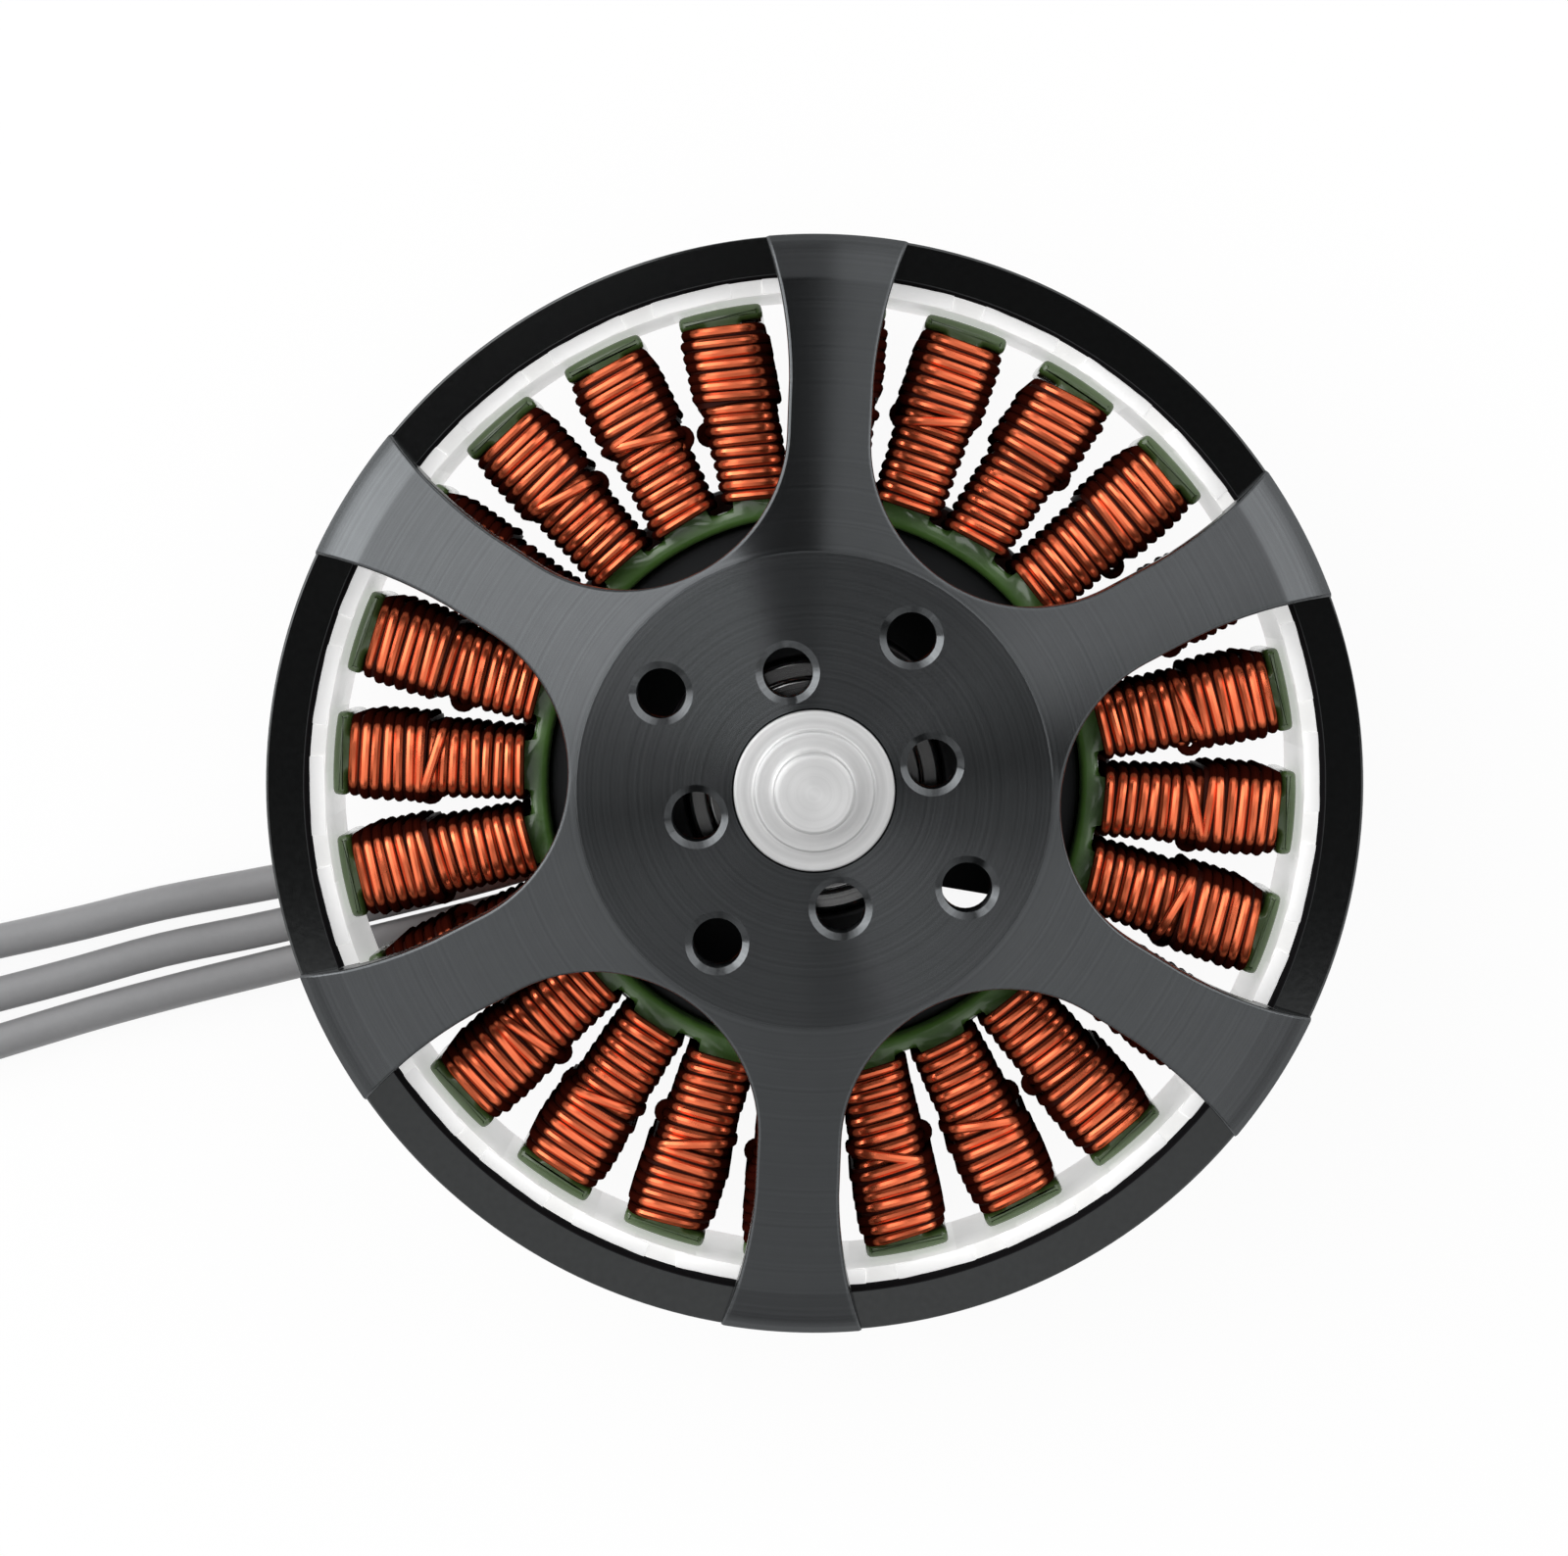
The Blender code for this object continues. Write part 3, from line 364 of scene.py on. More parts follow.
def evaluated_mesh(obj):
    bpy.context.view_layer.update()
    graph = bpy.context.evaluated_depsgraph_get()
    return bpy.data.meshes.new_from_object(obj.evaluated_get(graph), depsgraph=graph)


def link(name, data):
    obj = bpy.data.objects.new(name, data)
    bpy.context.scene.collection.objects.link(obj)
    return obj


def wire_curve(name, routes, diameter, resolution):
    """A round wire along each route."""
    curve = bpy.data.curves.new(name, "CURVE")
    curve.dimensions = "3D"
    curve.bevel_depth = diameter / 2
    curve.bevel_resolution = resolution
    curve.use_fill_caps = True
    for route in routes:
        spline = curve.splines.new("POLY")
        spline.points.add(len(route) - 1)
        for point, spot in zip(spline.points, route):
            point.co = (*spot, 1)
    return curve


def cut(mesh, shape):
    """The mesh with the cutters of a bmesh taken out of it."""
    body = link("body", mesh)
    cutter = link("cutter", closed_mesh("cutter", shape))
    step = body.modifiers.new("Cut", "BOOLEAN")
    step.operation = "DIFFERENCE"
    step.solver = "EXACT"
    step.use_self = False
    step.object = cutter
    result = evaluated_mesh(body)
    bpy.data.objects.remove(body)
    bpy.data.objects.remove(cutter)
    return result


def add_piece(name, mesh, finish, body, slot, *nodes):
    """A finished piece at the origin, on its body, in place of its nodes."""
    mesh.materials.clear()
    mesh.materials.append(finish)
    mesh.shade_smooth()
    mesh.set_sharp_from_angle(angle=SHARP_ANGLE)
    obj = link(name, mesh)
    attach(obj, body)
    if nodes:
        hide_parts(*nodes)
    return obj


def spun_piece(name, outline, steps, finish, body, slot, *nodes, on_axis=False):
    shape = bmesh.new()
    spin(shape, outline, steps, on_axis)
    return add_piece(name, closed_mesh(name, shape), finish, body, slot, *nodes)


# Shader maths


class Link:
    """An output of a shader node. Arithmetic on it adds Math nodes."""

    def __init__(self, finish, socket):
        self.finish = finish
        self.socket = socket

    def math(self, operation, first, second=0.0):
        return self.finish.node("ShaderNodeMath", {"operation": operation}, {0: first, 1: second})

    def __add__(self, other):
        return self.math("ADD", self, other)

    def __radd__(self, other):
        return self.math("ADD", other, self)

    def __sub__(self, other):
        return self.math("SUBTRACT", self, other)

    def __rsub__(self, other):
        return self.math("SUBTRACT", other, self)

    def __mul__(self, other):
        return self.math("MULTIPLY", self, other)

    def __rmul__(self, other):
        return self.math("MULTIPLY", other, self)

    def largest(self, other):
        return self.math("MAXIMUM", self, other)


class Finish:
    """A material in the making, with the constants of its shader set first."""

    def __init__(self, name, constants, data=None):
        self.material = data or bpy.data.materials.new(name)
        self.material.use_nodes = True
        self.tree = self.material.node_tree
        self.shader = self.tree.nodes.get("Principled BSDF")
        for socket, value in constants.items():
            self.feed(self.shader.inputs[socket], value)

    def node(self, kind, settings=None, inputs=None, output=0):
        """Adds a node: its settings first, then the values or links of its sockets."""
        node = self.tree.nodes.new(kind)
        for key, value in (settings or {}).items():
            if key == "stops":
                self.set_stops(node.color_ramp.elements, value)
            else:
                setattr(node, key, value)
        for key, value in (inputs or {}).items():
            self.feed(node.inputs[key], value)
        return Link(self, node.outputs[output])

    def set_stops(self, elements, stops):
        for i, (position, value) in enumerate(stops):
            element = elements[i] if i < len(elements) else elements.new(position)
            element.position = position
            element.color = (value, value, value, 1)

    def feed(self, socket, value):
        if isinstance(value, Link):
            self.tree.links.new(value.socket, socket)
        elif socket.type == "RGBA":
            socket.default_value = (*value[:3], 1)
        else:
            socket.default_value = value

    def shade(self, socket, value):
        self.feed(self.shader.inputs[socket], value)

    def place(self):
        """Object coordinates."""
        return self.node("ShaderNodeTexCoord", output="Object")

    def noise(self, scale, detail=2.0, stretch=None):
        where = self.place()
        if stretch:
            where = self.node("ShaderNodeMapping", inputs={"Vector": where, "Scale": stretch})
        return self.node("ShaderNodeTexNoise", inputs={"Vector": where, "Scale": scale, "Detail": detail})

    def mix(self, share, first, second):
        """A colour between two colours."""
        settings = {"data_type": "RGBA"}
        return self.node("ShaderNodeMix", settings, {0: share, 6: first, 7: second}, output=2)

    def ramp(self, value, *stops):
        return self.node("ShaderNodeValToRGB", {"stops": stops}, {0: value})

    def axis_distance(self):
        """Distance from the motor's axis."""
        flat = self.node("ShaderNodeVectorMath", {"operation": "MULTIPLY"}, {0: self.place(), 1: (1, 1, 0)})
        return self.node("ShaderNodeVectorMath", {"operation": "LENGTH"}, {0: flat}, output="Value")

    def lathe_lines(self, scale):
        """A rough line pattern that depends on the distance from the axis only."""
        settings = {"noise_dimensions": "1D"}
        inputs = {"W": self.axis_distance(), "Scale": scale, "Detail": 3.0}
        return self.node("ShaderNodeTexNoise", settings, inputs)

    def bump(self, height, depth, strength=1.0):
        inputs = {"Height": height, "Distance": depth, "Strength": strength}
        self.shade("Normal", self.node("ShaderNodeBump", inputs=inputs))


def shades(base, dark, light):
    """Two shades of one colour."""
    return [channel * dark for channel in base], [min(channel * light, 1) for channel in base]


def finish_of(name, build):
    """The material of that name, which is built where it doesn't exist yet."""
    return bpy.data.materials.get(name) or build(name, bpy.context.scene.motor_colours).material


def turned_metal(name, base, roughness, metallic, anisotropy, lines, contrast=0.14):
    """Metal with the fine rings that a lathe leaves: lines gives how close they are and how deep."""
    constants = {"Metallic": metallic, "Anisotropic": anisotropy, "Anisotropic Rotation": 0.25}
    finish = Finish(name, constants)
    scale, depth = lines
    rings = finish.lathe_lines(scale)
    share = rings * 0.8 + finish.noise(900, 3) * 0.2
    finish.shade("Base Color", finish.mix(share, *shades(base, 1 - contrast, 1 + contrast)))
    finish.shade("Roughness", roughness - 0.02 + rings * 0.04)
    finish.bump(rings, depth, 0.5)
    return finish


def bell_finish(name, colours):
    return turned_metal(
        name, colours.bell, roughness=0.212, metallic=1.0, anisotropy=1.0, lines=(6000, 0.000005),
        contrast=0.25,
    )


def base_finish(name, colours):
    return turned_metal(
        name, colours.base, roughness=0.42, metallic=0.5, anisotropy=0.3, lines=(5000, 0.00001)
    )


def steel_finish(name, colours):
    return turned_metal(
        name, colours.steel, roughness=0.45, metallic=0.75, anisotropy=0.3, lines=(4200, 0.000012)
    )


def bearing_finish(name, colours):
    steel = shades(colours.steel, 1, 0.8)[1]
    return turned_metal(
        name, steel, roughness=0.13, metallic=1.0, anisotropy=0.2, lines=(3600, 0.000004)
    )


MATT_BLACK = (0.012, 0.012, 0.013)


def ring_finish(name, colours):
    """Blackened steel, ground on top and matt black on its inner wall."""
    finish = Finish(name, {"Specular IOR Level": 0.0})
    grain = finish.noise(3000, 4)
    bore = RING_HIGH.x - sizes_of("rotor").ring_wall
    top = finish.ramp((finish.axis_distance() - bore) * 10000, (0.4, 0.0), (0.8, 1.0))
    ground = finish.mix(grain, *shades(colours.ring, 0.85, 1.15))
    finish.shade("Base Color", finish.mix(top, MATT_BLACK, ground))
    finish.shade("Metallic", top)
    finish.shade("Roughness", 0.6 - top * 0.52 + grain * 0.04)
    finish.bump(grain, 0.000003, 0.3)
    return finish


def grained(name, base, noise, tones, roughness, relief, constants):
    """A finish in which one grain drives colour, roughness and relief.

    noise is its scale and detail, tones the darkest and lightest share of the colour, roughness its
    least and its range, and relief its depth and strength, where it has one.
    """
    finish = Finish(name, constants)
    grain = finish.noise(*noise)
    finish.shade("Base Color", finish.mix(grain, *shades(base, *tones)))
    finish.shade("Roughness", roughness[0] + grain * roughness[1])
    if relief:
        finish.bump(grain, *relief)
    return finish


# Painted light: the magnets and their glue glow weakly, so that they stay white deep in their narrow gap
PAINTED_LIGHT_GLOW = {"Emission Color": (1, 1, 1), "Emission Strength": 0.42}


# Nickel plating with a weak glow as painted light
def nickel_finish(name, colours):
    return grained(
        name, colours.nickel, noise=(2500, 4), tones=(0.92, 1.08), roughness=(0.3, 0.2),
        relief=(0.00001, 0.4), constants=PAINTED_LIGHT_GLOW,
    )


# Epoxy glue with a weak glow as painted light
def glue_finish(name, colours):
    return grained(
        name, colours.glue, noise=(1200, 3), tones=(0.9, 1.1), roughness=(0.35, 0.2),
        relief=(0.00005, 0.6), constants=PAINTED_LIGHT_GLOW,
    )


TIPS_START = 0.0225    # distance from the axis where the coating takes the tips' colour


def coating_finish(name, colours):
    """Powder coating: an orange-peel skin with soft highlights."""
    finish = Finish(name, {"Coat Weight": 1.0, "Coat Roughness": 0.12, "Specular IOR Level": 0.7})
    peel = finish.noise(2600, 1.5)
    cloud = finish.noise(350, 3)
    skin = finish.mix(cloud, *shades(colours.coating, 0.8, 1.25))
    tips = finish.ramp((finish.axis_distance() - TIPS_START) * 1000, (0.0, 0.0), (1.0, 1.0))
    finish.shade("Base Color", finish.mix(tips, skin, colours.tip))
    finish.shade("Roughness", 0.36 + peel * 0.12)
    finish.bump(peel, 0.00006, 0.5)
    return finish


def copper_finish(name, colours):
    """Enamelled wire: red-brown enamel on copper, with painted shade: dark and not metallic where a wire's
    surface faces sideways and past the sides of a coil.
    """
    finish = Finish(name, {"Specular IOR Level": 0.0, "Specular Tint": (0.8, 0.3, 0.15)})
    cloud = finish.noise(420, 3)
    fine = finish.noise(5200, 2)
    face = finish.mix(cloud * 0.8 + fine * 0.2, *shades(colours.copper, 0.94, 1.08))
    # Painted shade: crown is how far the wire's surface faces up; sideways flanks take the dark colour and
    # lose their metal
    upward = finish.node("ShaderNodeAttribute", {"attribute_name": "crown"}, output="Fac")
    crown = finish.ramp(upward, (0.34, 0.0), (0.68, 1.0))
    finish.shade("Base Color", finish.mix(crown, colours.copper_painted_shade, face))
    finish.shade("Metallic", crown * 0.95)
    finish.shade("Roughness", 0.25 + cloud * 0.06)
    return finish


def layers_finish(name, colours):
    """Inner turns, painted near black as shade."""
    return grained(
        name, colours.copper_painted_shade, noise=(1500, 3), tones=(0.6, 1.3), roughness=(0.5, 0.2),
        relief=None, constants={"Specular IOR Level": 0.1},
    )


def silicone_finish(name, colours):
    finish = Finish(name, {"Specular IOR Level": 0.45, "Sheen Weight": 0.1})
    fine = finish.noise(2400, 3)
    cloud = finish.noise(160, 2)
    finish.shade("Base Color", finish.mix(cloud * 0.6 + fine * 0.4, *shades(colours.silicone, 0.85, 1.15)))
    finish.shade("Roughness", 0.42 + fine * 0.12)
    finish.bump(fine, 0.00002, 0.3)
    return finish


def gold_finish(name, colours):
    return grained(
        name, colours.gold, noise=(1800, 3), tones=(0.94, 1.06), roughness=(0.2, 0.06),
        relief=(0.000003, 0.2), constants={"Metallic": 1.0},
    )


# Bell

DRAFT = 0.00006
HUB_EDGE = 0.0001
SHOULDER_FILLET = 0.00015
KNEE_FILLET = 0.0006
BOSS_LOW = SHIM_HIGH.z + SEAT_GAP
POCKET_DEPTH = 0.00095
BORE_CHAMFER = 0.0002

# Rows of the arms' mesh: distances from the axis on the hub and the arm, steps round a window's
# inner end, columns across, steps over an edge, and where the outermost columns lie
HUB_ROWS = (0.0047, 0.0055, 0.0075, 0.0095, 0.0109, 0.0114)
ARM_ROWS = (0.0205, 0.0214, 0.0223, 0.0232, 0.0241)
ARC_ROWS = 18
ARM_COLUMNS = 12
EDGE_STEPS = 3
EDGE_COLUMN = 0.985

CIRCLE_HOLES = 4
HOLE_STEPS = 32
COUNTERSINK_FALL = 0.76    # depth of a countersink by its width
COUNTERSINK_FLARE = 0.0004
THREAD_PITCH = 0.0005
THREAD_DEPTH = 0.00018


def bell_top_line(sizes):
    """Section of the bell's upper side, from the axis over the shoulder to the rim."""
    hub = sizes.hub_diameter / 2
    rim_height = RING_HIGH.z + SEAT_GAP + sizes.foot_edge
    shoulder_height = rim_height + sizes.shoulder_height
    return filleted(
        (0, BELL_HIGH.z),
        (hub - HUB_EDGE, BELL_HIGH.z),
        (hub, BELL_HIGH.z - HUB_EDGE),
        (RING_HIGH.x - sizes.shoulder_width, shoulder_height, SHOULDER_FILLET),
        (RING_HIGH.x - sizes.shoulder_round, rim_height + sizes.shoulder_round, KNEE_FILLET),
        (RING_HIGH.x, rim_height),
    )


def bell_underside_line(sizes):
    seat = RING_HIGH.z + SEAT_GAP
    hub_underside = BELL_HIGH.z - sizes.hub_thickness
    spigot_outside = RING_HIGH.x - sizes_of("rotor").ring_wall - SEAT_GAP
    spigot_inside = spigot_outside - sizes.spigot_wall
    spigot_low = seat - sizes.spigot_depth
    return filleted(
        (0, hub_underside),
        (sizes.hub_diameter / 2, hub_underside),
        (spigot_inside - DRAFT, seat),
        (spigot_inside, spigot_low),
        (spigot_outside - DRAFT, spigot_low),
        (spigot_outside, seat),
        (RING_HIGH.x, seat),
    )


def height_on(points, radius):
    """Height at a radius on a chain of (radius, height) points."""
    for (inner, low), (outer, high) in zip(points, points[1:]):
        if radius <= outer:
            return low + (high - low) * (radius - inner) / (outer - inner)
    return points[-1][1]


def arm_side(sizes):
    """(point, direction into the metal) along one side of the arm that lies on +X, hub to rim."""
    half = sizes.arm_width / 2
    pitch = math.pi / sizes.arm_count
    center = polar((sizes.window_radius + half) / math.sin(pitch), pitch)
    side = []
    for row in range(ARC_ROWS + 1):
        out = polar(1, math.pi + pitch + (math.pi / 2 - pitch) * row / ARC_ROWS)
        side.append((center + out * sizes.window_radius, out))
    lines = bell_top_line(sizes) + bell_underside_line(sizes)
    marks = sorted({*ARM_ROWS, *(point.x for point in lines if point.x > ARM_ROWS[-1])})
    flare_center = Vector((sizes.flare_start, half + sizes.flare_radius, 0))
    for radius in marks:
        turn = flare_turn(flare_center, sizes.flare_radius + sizes.edge_round, radius)
        out = polar(1, turn - math.pi / 2)
        side.append((flare_center + out * sizes.flare_radius, out))
    return side


def flare_turn(center, flare_radius, radius):
    """How far the flare's circle has turned where it meets a distance from the axis."""
    reach = (radius**2 - center.length_squared - flare_radius**2) / (2 * flare_radius)
    return math.atan2(center.y, center.x) + math.asin(reach / center.length)


def make_arm(shape, sizes):
    """The arm along +X with its sixth of the hub: upper side, underside, both walls and the rim."""
    side = arm_side(sizes)
    edge = sizes.edge_round
    hub = sizes.hub_diameter / 2
    hub_rows = [*HUB_ROWS, hub - HUB_EDGE, hub]
    pitch = math.pi / sizes.arm_count
    edge_points = [point + inward * edge for point, inward in side]
    top_line = bell_top_line(sizes)
    underside_line = bell_underside_line(sizes)

    def across(inner_radius, line):
        def place(row, column):
            share = 2 * column / ARM_COLUMNS - 1
            if row <= len(hub_rows):
                radius = [inner_radius, *hub_rows][row]
                return polar(radius, pitch * share, height_on(line, radius))
            point = edge_points[row - len(hub_rows) - 1]
            radius = point.length
            share *= 1 if abs(share) == 1 else EDGE_COLUMN * ARM_COLUMNS / (ARM_COLUMNS - 2)
            return polar(radius, math.atan2(point.y, point.x) * share, height_on(line, radius))
        return place

    def wall(sign):
        def place(row, column):
            point, inward = side[row]
            radius = edge_points[row].length
            top = height_on(top_line, radius)
            bottom = height_on(underside_line, radius)
            turn = math.pi / 2 * (column % (EDGE_STEPS + 1)) / EDGE_STEPS
            if column <= EDGE_STEPS:
                spot = point + inward * edge * (1 - math.sin(turn))
                spot.z = top - edge * (1 - math.cos(turn))
            else:
                spot = point + inward * edge * (1 - math.cos(turn))
                spot.z = bottom + edge * (1 - math.sin(turn))
            spot.y *= sign
            return spot
        return place

    def rim(row, column):
        point = edge_points[-1]
        line = underside_line if row else top_line
        turn = math.atan2(point.y, point.x) * (2 * column / ARM_COLUMNS - 1)
        return polar(point.length, turn, height_on(line, point.length))

    rows = len(hub_rows) + len(side)
    sheet(shape, rows, ARM_COLUMNS, across(sizes.pocket_diameter / 2, top_line))
    sheet(shape, rows, ARM_COLUMNS, across(sizes.boss_diameter / 2, underside_line))
    sheet(shape, len(side) - 1, 2 * EDGE_STEPS + 1, wall(1))
    sheet(shape, len(side) - 1, 2 * EDGE_STEPS + 1, wall(-1))
    sheet(shape, 1, ARM_COLUMNS, rim)


def hub_and_arms(sizes):
    """All arms with the hub, as one shell that is open round the shaft."""
    shape = bmesh.new()
    make_arm(shape, sizes)
    repeat_round(shape, sizes.arm_angle, sizes.arm_count)
    return shape


def hub_hollow(shape, sizes):
    """Pocket, bore and boss in the middle of the hub, as the band that joins its two faces."""
    pocket = sizes.pocket_diameter / 2
    bore = sizes.bore_diameter / 2
    boss = sizes.boss_diameter / 2
    floor = BELL_HIGH.z - POCKET_DEPTH
    outline = (
        (pocket, BELL_HIGH.z),
        (pocket, floor),
        (bore + BORE_CHAMFER, floor),
        (bore, floor - BORE_CHAMFER),
        (bore, BOSS_LOW + BORE_CHAMFER),
        (bore + BORE_CHAMFER, BOSS_LOW),
        (boss - BORE_CHAMFER, BOSS_LOW),
        (boss, BOSS_LOW + BORE_CHAMFER),
        (boss, BELL_HIGH.z - sizes.hub_thickness),
    )
    start = sizes.arm_angle - math.pi / sizes.arm_count
    parts = chain(shape, [polar(radius, start, height) for radius, height in outline])
    turn_round(shape, parts, FULL_TURN, ARM_COLUMNS * sizes.arm_count, use_merge=True)


def threaded_hole(shape, center, mouth, down, depth, sizes):
    """A countersunk, threaded hole as a cutter. down is -1 where it goes down from its mouth."""
    radius = sizes.hole_diameter / 2
    chamfer = sizes.hole_chamfer
    above = mouth - down * CUTTER_REACH
    outline = [(0, above), (radius + chamfer + COUNTERSINK_FLARE, above), (radius + chamfer, mouth)]
    run = COUNTERSINK_FALL * chamfer
    outline.append((radius, mouth + down * run))
    while run + THREAD_PITCH < depth:
        outline.append((radius + THREAD_DEPTH, mouth + down * (run + THREAD_PITCH / 2)))
        run += THREAD_PITCH
        outline.append((radius, mouth + down * run))
    outline += [(radius, mouth + down * depth), (0, mouth + down * depth)]
    spin(shape, outline, HOLE_STEPS, on_axis=True, center=center)


def hole_circle(shape, diameter, first, mouth, down, depth, sizes):
    """Threaded holes on a circle, as cutters."""
    for i in range(CIRCLE_HOLES):
        center = polar(diameter / 2, first + i * FULL_TURN / CIRCLE_HOLES)
        threaded_hole(shape, center, mouth, down, depth, sizes)


def bell_mesh(sizes):
    shape = hub_and_arms(sizes)
    hub_hollow(shape, sizes)
    bmesh.ops.remove_doubles(shape, verts=shape.verts, dist=WELD)
    fill_openings(shape)
    solid = closed_mesh("rotor_bell", shape)
    holes = bmesh.new()
    depth = sizes.hub_thickness + CUTTER_REACH
    hole_circle(holes, sizes.inner_circle, sizes.inner_angle, BELL_HIGH.z, -1, depth, sizes)
    hole_circle(holes, sizes.outer_circle, sizes.outer_angle, BELL_HIGH.z, -1, depth, sizes)
    return cut(solid, holes)


# Rotor ring and magnets

RING_FILLETS = (0.00005, 0.00012, 0.00035, 0.00025)    # inner top, outer top, outer and inner bottom
MAGNET_EDGE = 0.00007
GLUE_SHORT = 0.00006       # how far the glue ends under the magnets' ends
GLUE_HOLLOW = 0.00008      # how far its ends sink between two magnets


def magnet_shape(sizes, turn):
    """One plated magnet with rounded edges, glued inside the ring."""
    shape = bmesh.new()
    bmesh.ops.create_cube(shape, size=1)
    size = (sizes.magnet_thickness, sizes.magnet_width, sizes.magnet_length)
    bmesh.ops.scale(shape, vec=size, verts=shape.verts)
    round_edges(shape, shape.edges[:], MAGNET_EDGE, 2)
    middle = (sizes.magnet_face + sizes.magnet_thickness / 2, 0, CORE_MIDDLE)
    bmesh.ops.translate(shape, vec=middle, verts=shape.verts)
    bmesh.ops.rotate(shape, verts=shape.verts, matrix=Matrix.Rotation(turn, 3, "Z"))
    return shape


def make_rotor_ring(sizes):
    black = finish_of("blackened steel", ring_finish)
    outer = RING_HIGH.x
    inner = outer - sizes.ring_wall
    corners = ((inner, RING_HIGH.z), (outer, RING_HIGH.z), (outer, RING_LOW.z), (inner, RING_LOW.z))
    outline = filleted(*((*corner, fillet) for corner, fillet in zip(corners, RING_FILLETS)))
    spun_piece("rotor_ring", outline, 240, black, "rotor", "blackened_steel", "flux_ring")
    nickel = finish_of("nickel plating", nickel_finish)
    for i in range(sizes.magnet_count):
        turn = sizes.magnet_angle + i * FULL_TURN / sizes.magnet_count
        name = f"magnet_{i + 1:02d}"
        mesh = closed_mesh(name, magnet_shape(sizes, turn))
        add_piece(name, mesh, nickel, "rotor", "bright_steel")
    face = sizes.magnet_face + sizes.glue_depth
    half = sizes.magnet_length / 2 - GLUE_SHORT
    outline = filleted(
        (inner - SEAT_GAP / 2, CORE_MIDDLE + half),
        (inner - SEAT_GAP / 2, CORE_MIDDLE - half),
        (face, CORE_MIDDLE - half + GLUE_HOLLOW),
        (face, CORE_MIDDLE + half - GLUE_HOLLOW),
    )
    glue = finish_of("magnet glue", glue_finish)
    spun_piece("magnet_glue", outline, 168, glue, "rotor", "bright_steel")


# Stator

ROOT_FILLET = 0.0003
TIP_FILLET = 0.0002
SECTOR_WELD = 0.00001    # joins neighbouring sectors of the stack


def tooth_outline(sizes):
    """One sector of the stack about +X: bore, yoke, and the tooth with its rounded tip."""
    half = sizes.tooth_width / 2
    tip = sizes.tip_length / 2
    yoke = sizes.yoke_diameter / 2
    outer = CORE_HIGH.x
    under = outer - sizes.tip_thickness
    pitch = math.pi / sizes.tooth_count
    root = math.sqrt(yoke**2 - half**2)
    under_end = math.sqrt(under**2 - tip**2)
    outer_end = math.sqrt(outer**2 - tip**2)
    side = filleted(
        (root, half, ROOT_FILLET),
        (math.sqrt(under**2 - half**2), half, TIP_FILLET),
        (under_end, tip, sizes.tip_round),
        (outer_end, tip, sizes.tip_round),
        (outer, 0),
    )[:-1]
    yoke_side = [polar(yoke, pitch * share)[:2] for share in (1, 0.8)]
    tip_face = [polar(outer, math.asin(tip / outer) * share)[:2] for share in (0.6, 0.3, 0)]
    upper = yoke_side + [tuple(point) for point in side] + tip_face
    lower = [(x, -y) for x, y in reversed(upper[:-1])]
    bore = [polar(sizes.yoke_bore / 2, pitch * share)[:2] for share in (-1, -0.5, 0, 0.5, 1)]
    return upper + lower + bore


def make_stator_stack(sizes):
    shape = bmesh.new()
    outline = tooth_outline(sizes)
    for i in range(sizes.tooth_count):
        turn = sizes.tooth_angle + i * FULL_TURN / sizes.tooth_count
        cos, sin = math.cos(turn), math.sin(turn)
        verts = [shape.verts.new((x * cos - y * sin, x * sin + y * cos, CORE_LOW.z)) for x, y in outline]
        shape.faces.new(verts)
    bmesh.ops.remove_doubles(shape, verts=shape.verts, dist=SECTOR_WELD)
    raise_faces(shape, shape.faces[:], CORE_HIGH.z - CORE_LOW.z)
    bmesh.ops.recalc_face_normals(shape, faces=shape.faces)
    rims = [
        edge for edge in shape.edges
        if abs(edge.verts[0].co.z - edge.verts[1].co.z) < WELD
        and any(abs(face.normal.z) < 0.5 for face in edge.link_faces)
    ]
    round_edges(shape, rims, sizes.edge_round, 3, clamp_overlap=False)
    mesh = closed_mesh("stator_stack", shape)
    coating = finish_of("green coating", coating_finish)
    add_piece("stator_stack", mesh, coating, "stator", "green_coating", "stator_core")


# Windings

# Quarter of a turn over a tooth: share of its half width, and its fall from the crown in bows
CROWN_POINTS = ((0.0, 0.0), (0.32, 0.03), (0.58, 0.14), (0.80, 0.50), (0.94, 1.05), (1.0, 1.70))
STRAIGHT_SIDE = 0.40    # share of a turn's height from which its side is straight

COIL_LEAN = 0.35        # how far a coil's turns may lean, in pitches
STEP_STRAY = 2.4        # how much looser the turns next to the step lie

LOOP_STEPS = 10
LOOP_SHIFT = 0.0008     # how far a slack loop may lie from the middle of its coil
LOOP_HEIGHTS = (0.0015, 0.0044)
LOOP_RISE = 0.0003
LOOP_ARC = 1.25         # half turns of a slack loop

CROSSING_SHARE = 0.6    # of the coils have a crossing turn
CROSSING_BACK = 1.2     # pitches from the step to the crossing turn
CROSSING_SLANTS = (0.7, 1.3)
CROSSING_END = 0.35     # share of the height at which a crossing turn ends

# Width over which the painted shade sets in at a coil's side
PAINTED_SHADE_FADE = 0.0006


def turn_section(half_width, height, bow):
    """(across, height) points once round a tooth, from under its middle and up its +Y side."""
    quarter = [(share * half_width, height - fall * bow) for share, fall in CROWN_POINTS]
    quarter.append((half_width, STRAIGHT_SIDE * height))
    up = [(y, -z) for y, z in quarter] + quarter[::-1]
    down = [(-y, z) for y, z in up[::-1]]
    return up[:-1] + down[:-1]


def winding_span(sizes):
    """Distance from the axis to the first and the last turn."""
    stator = sizes_of("stator")
    radius = sizes.wire_diameter / 2
    under = CORE_HIGH.x - stator.tip_thickness
    last = math.sqrt(under**2 - (stator.tip_length / 2) ** 2) - sizes.tip_gap - radius
    return stator.yoke_diameter / 2 + sizes.root_gap + radius, last


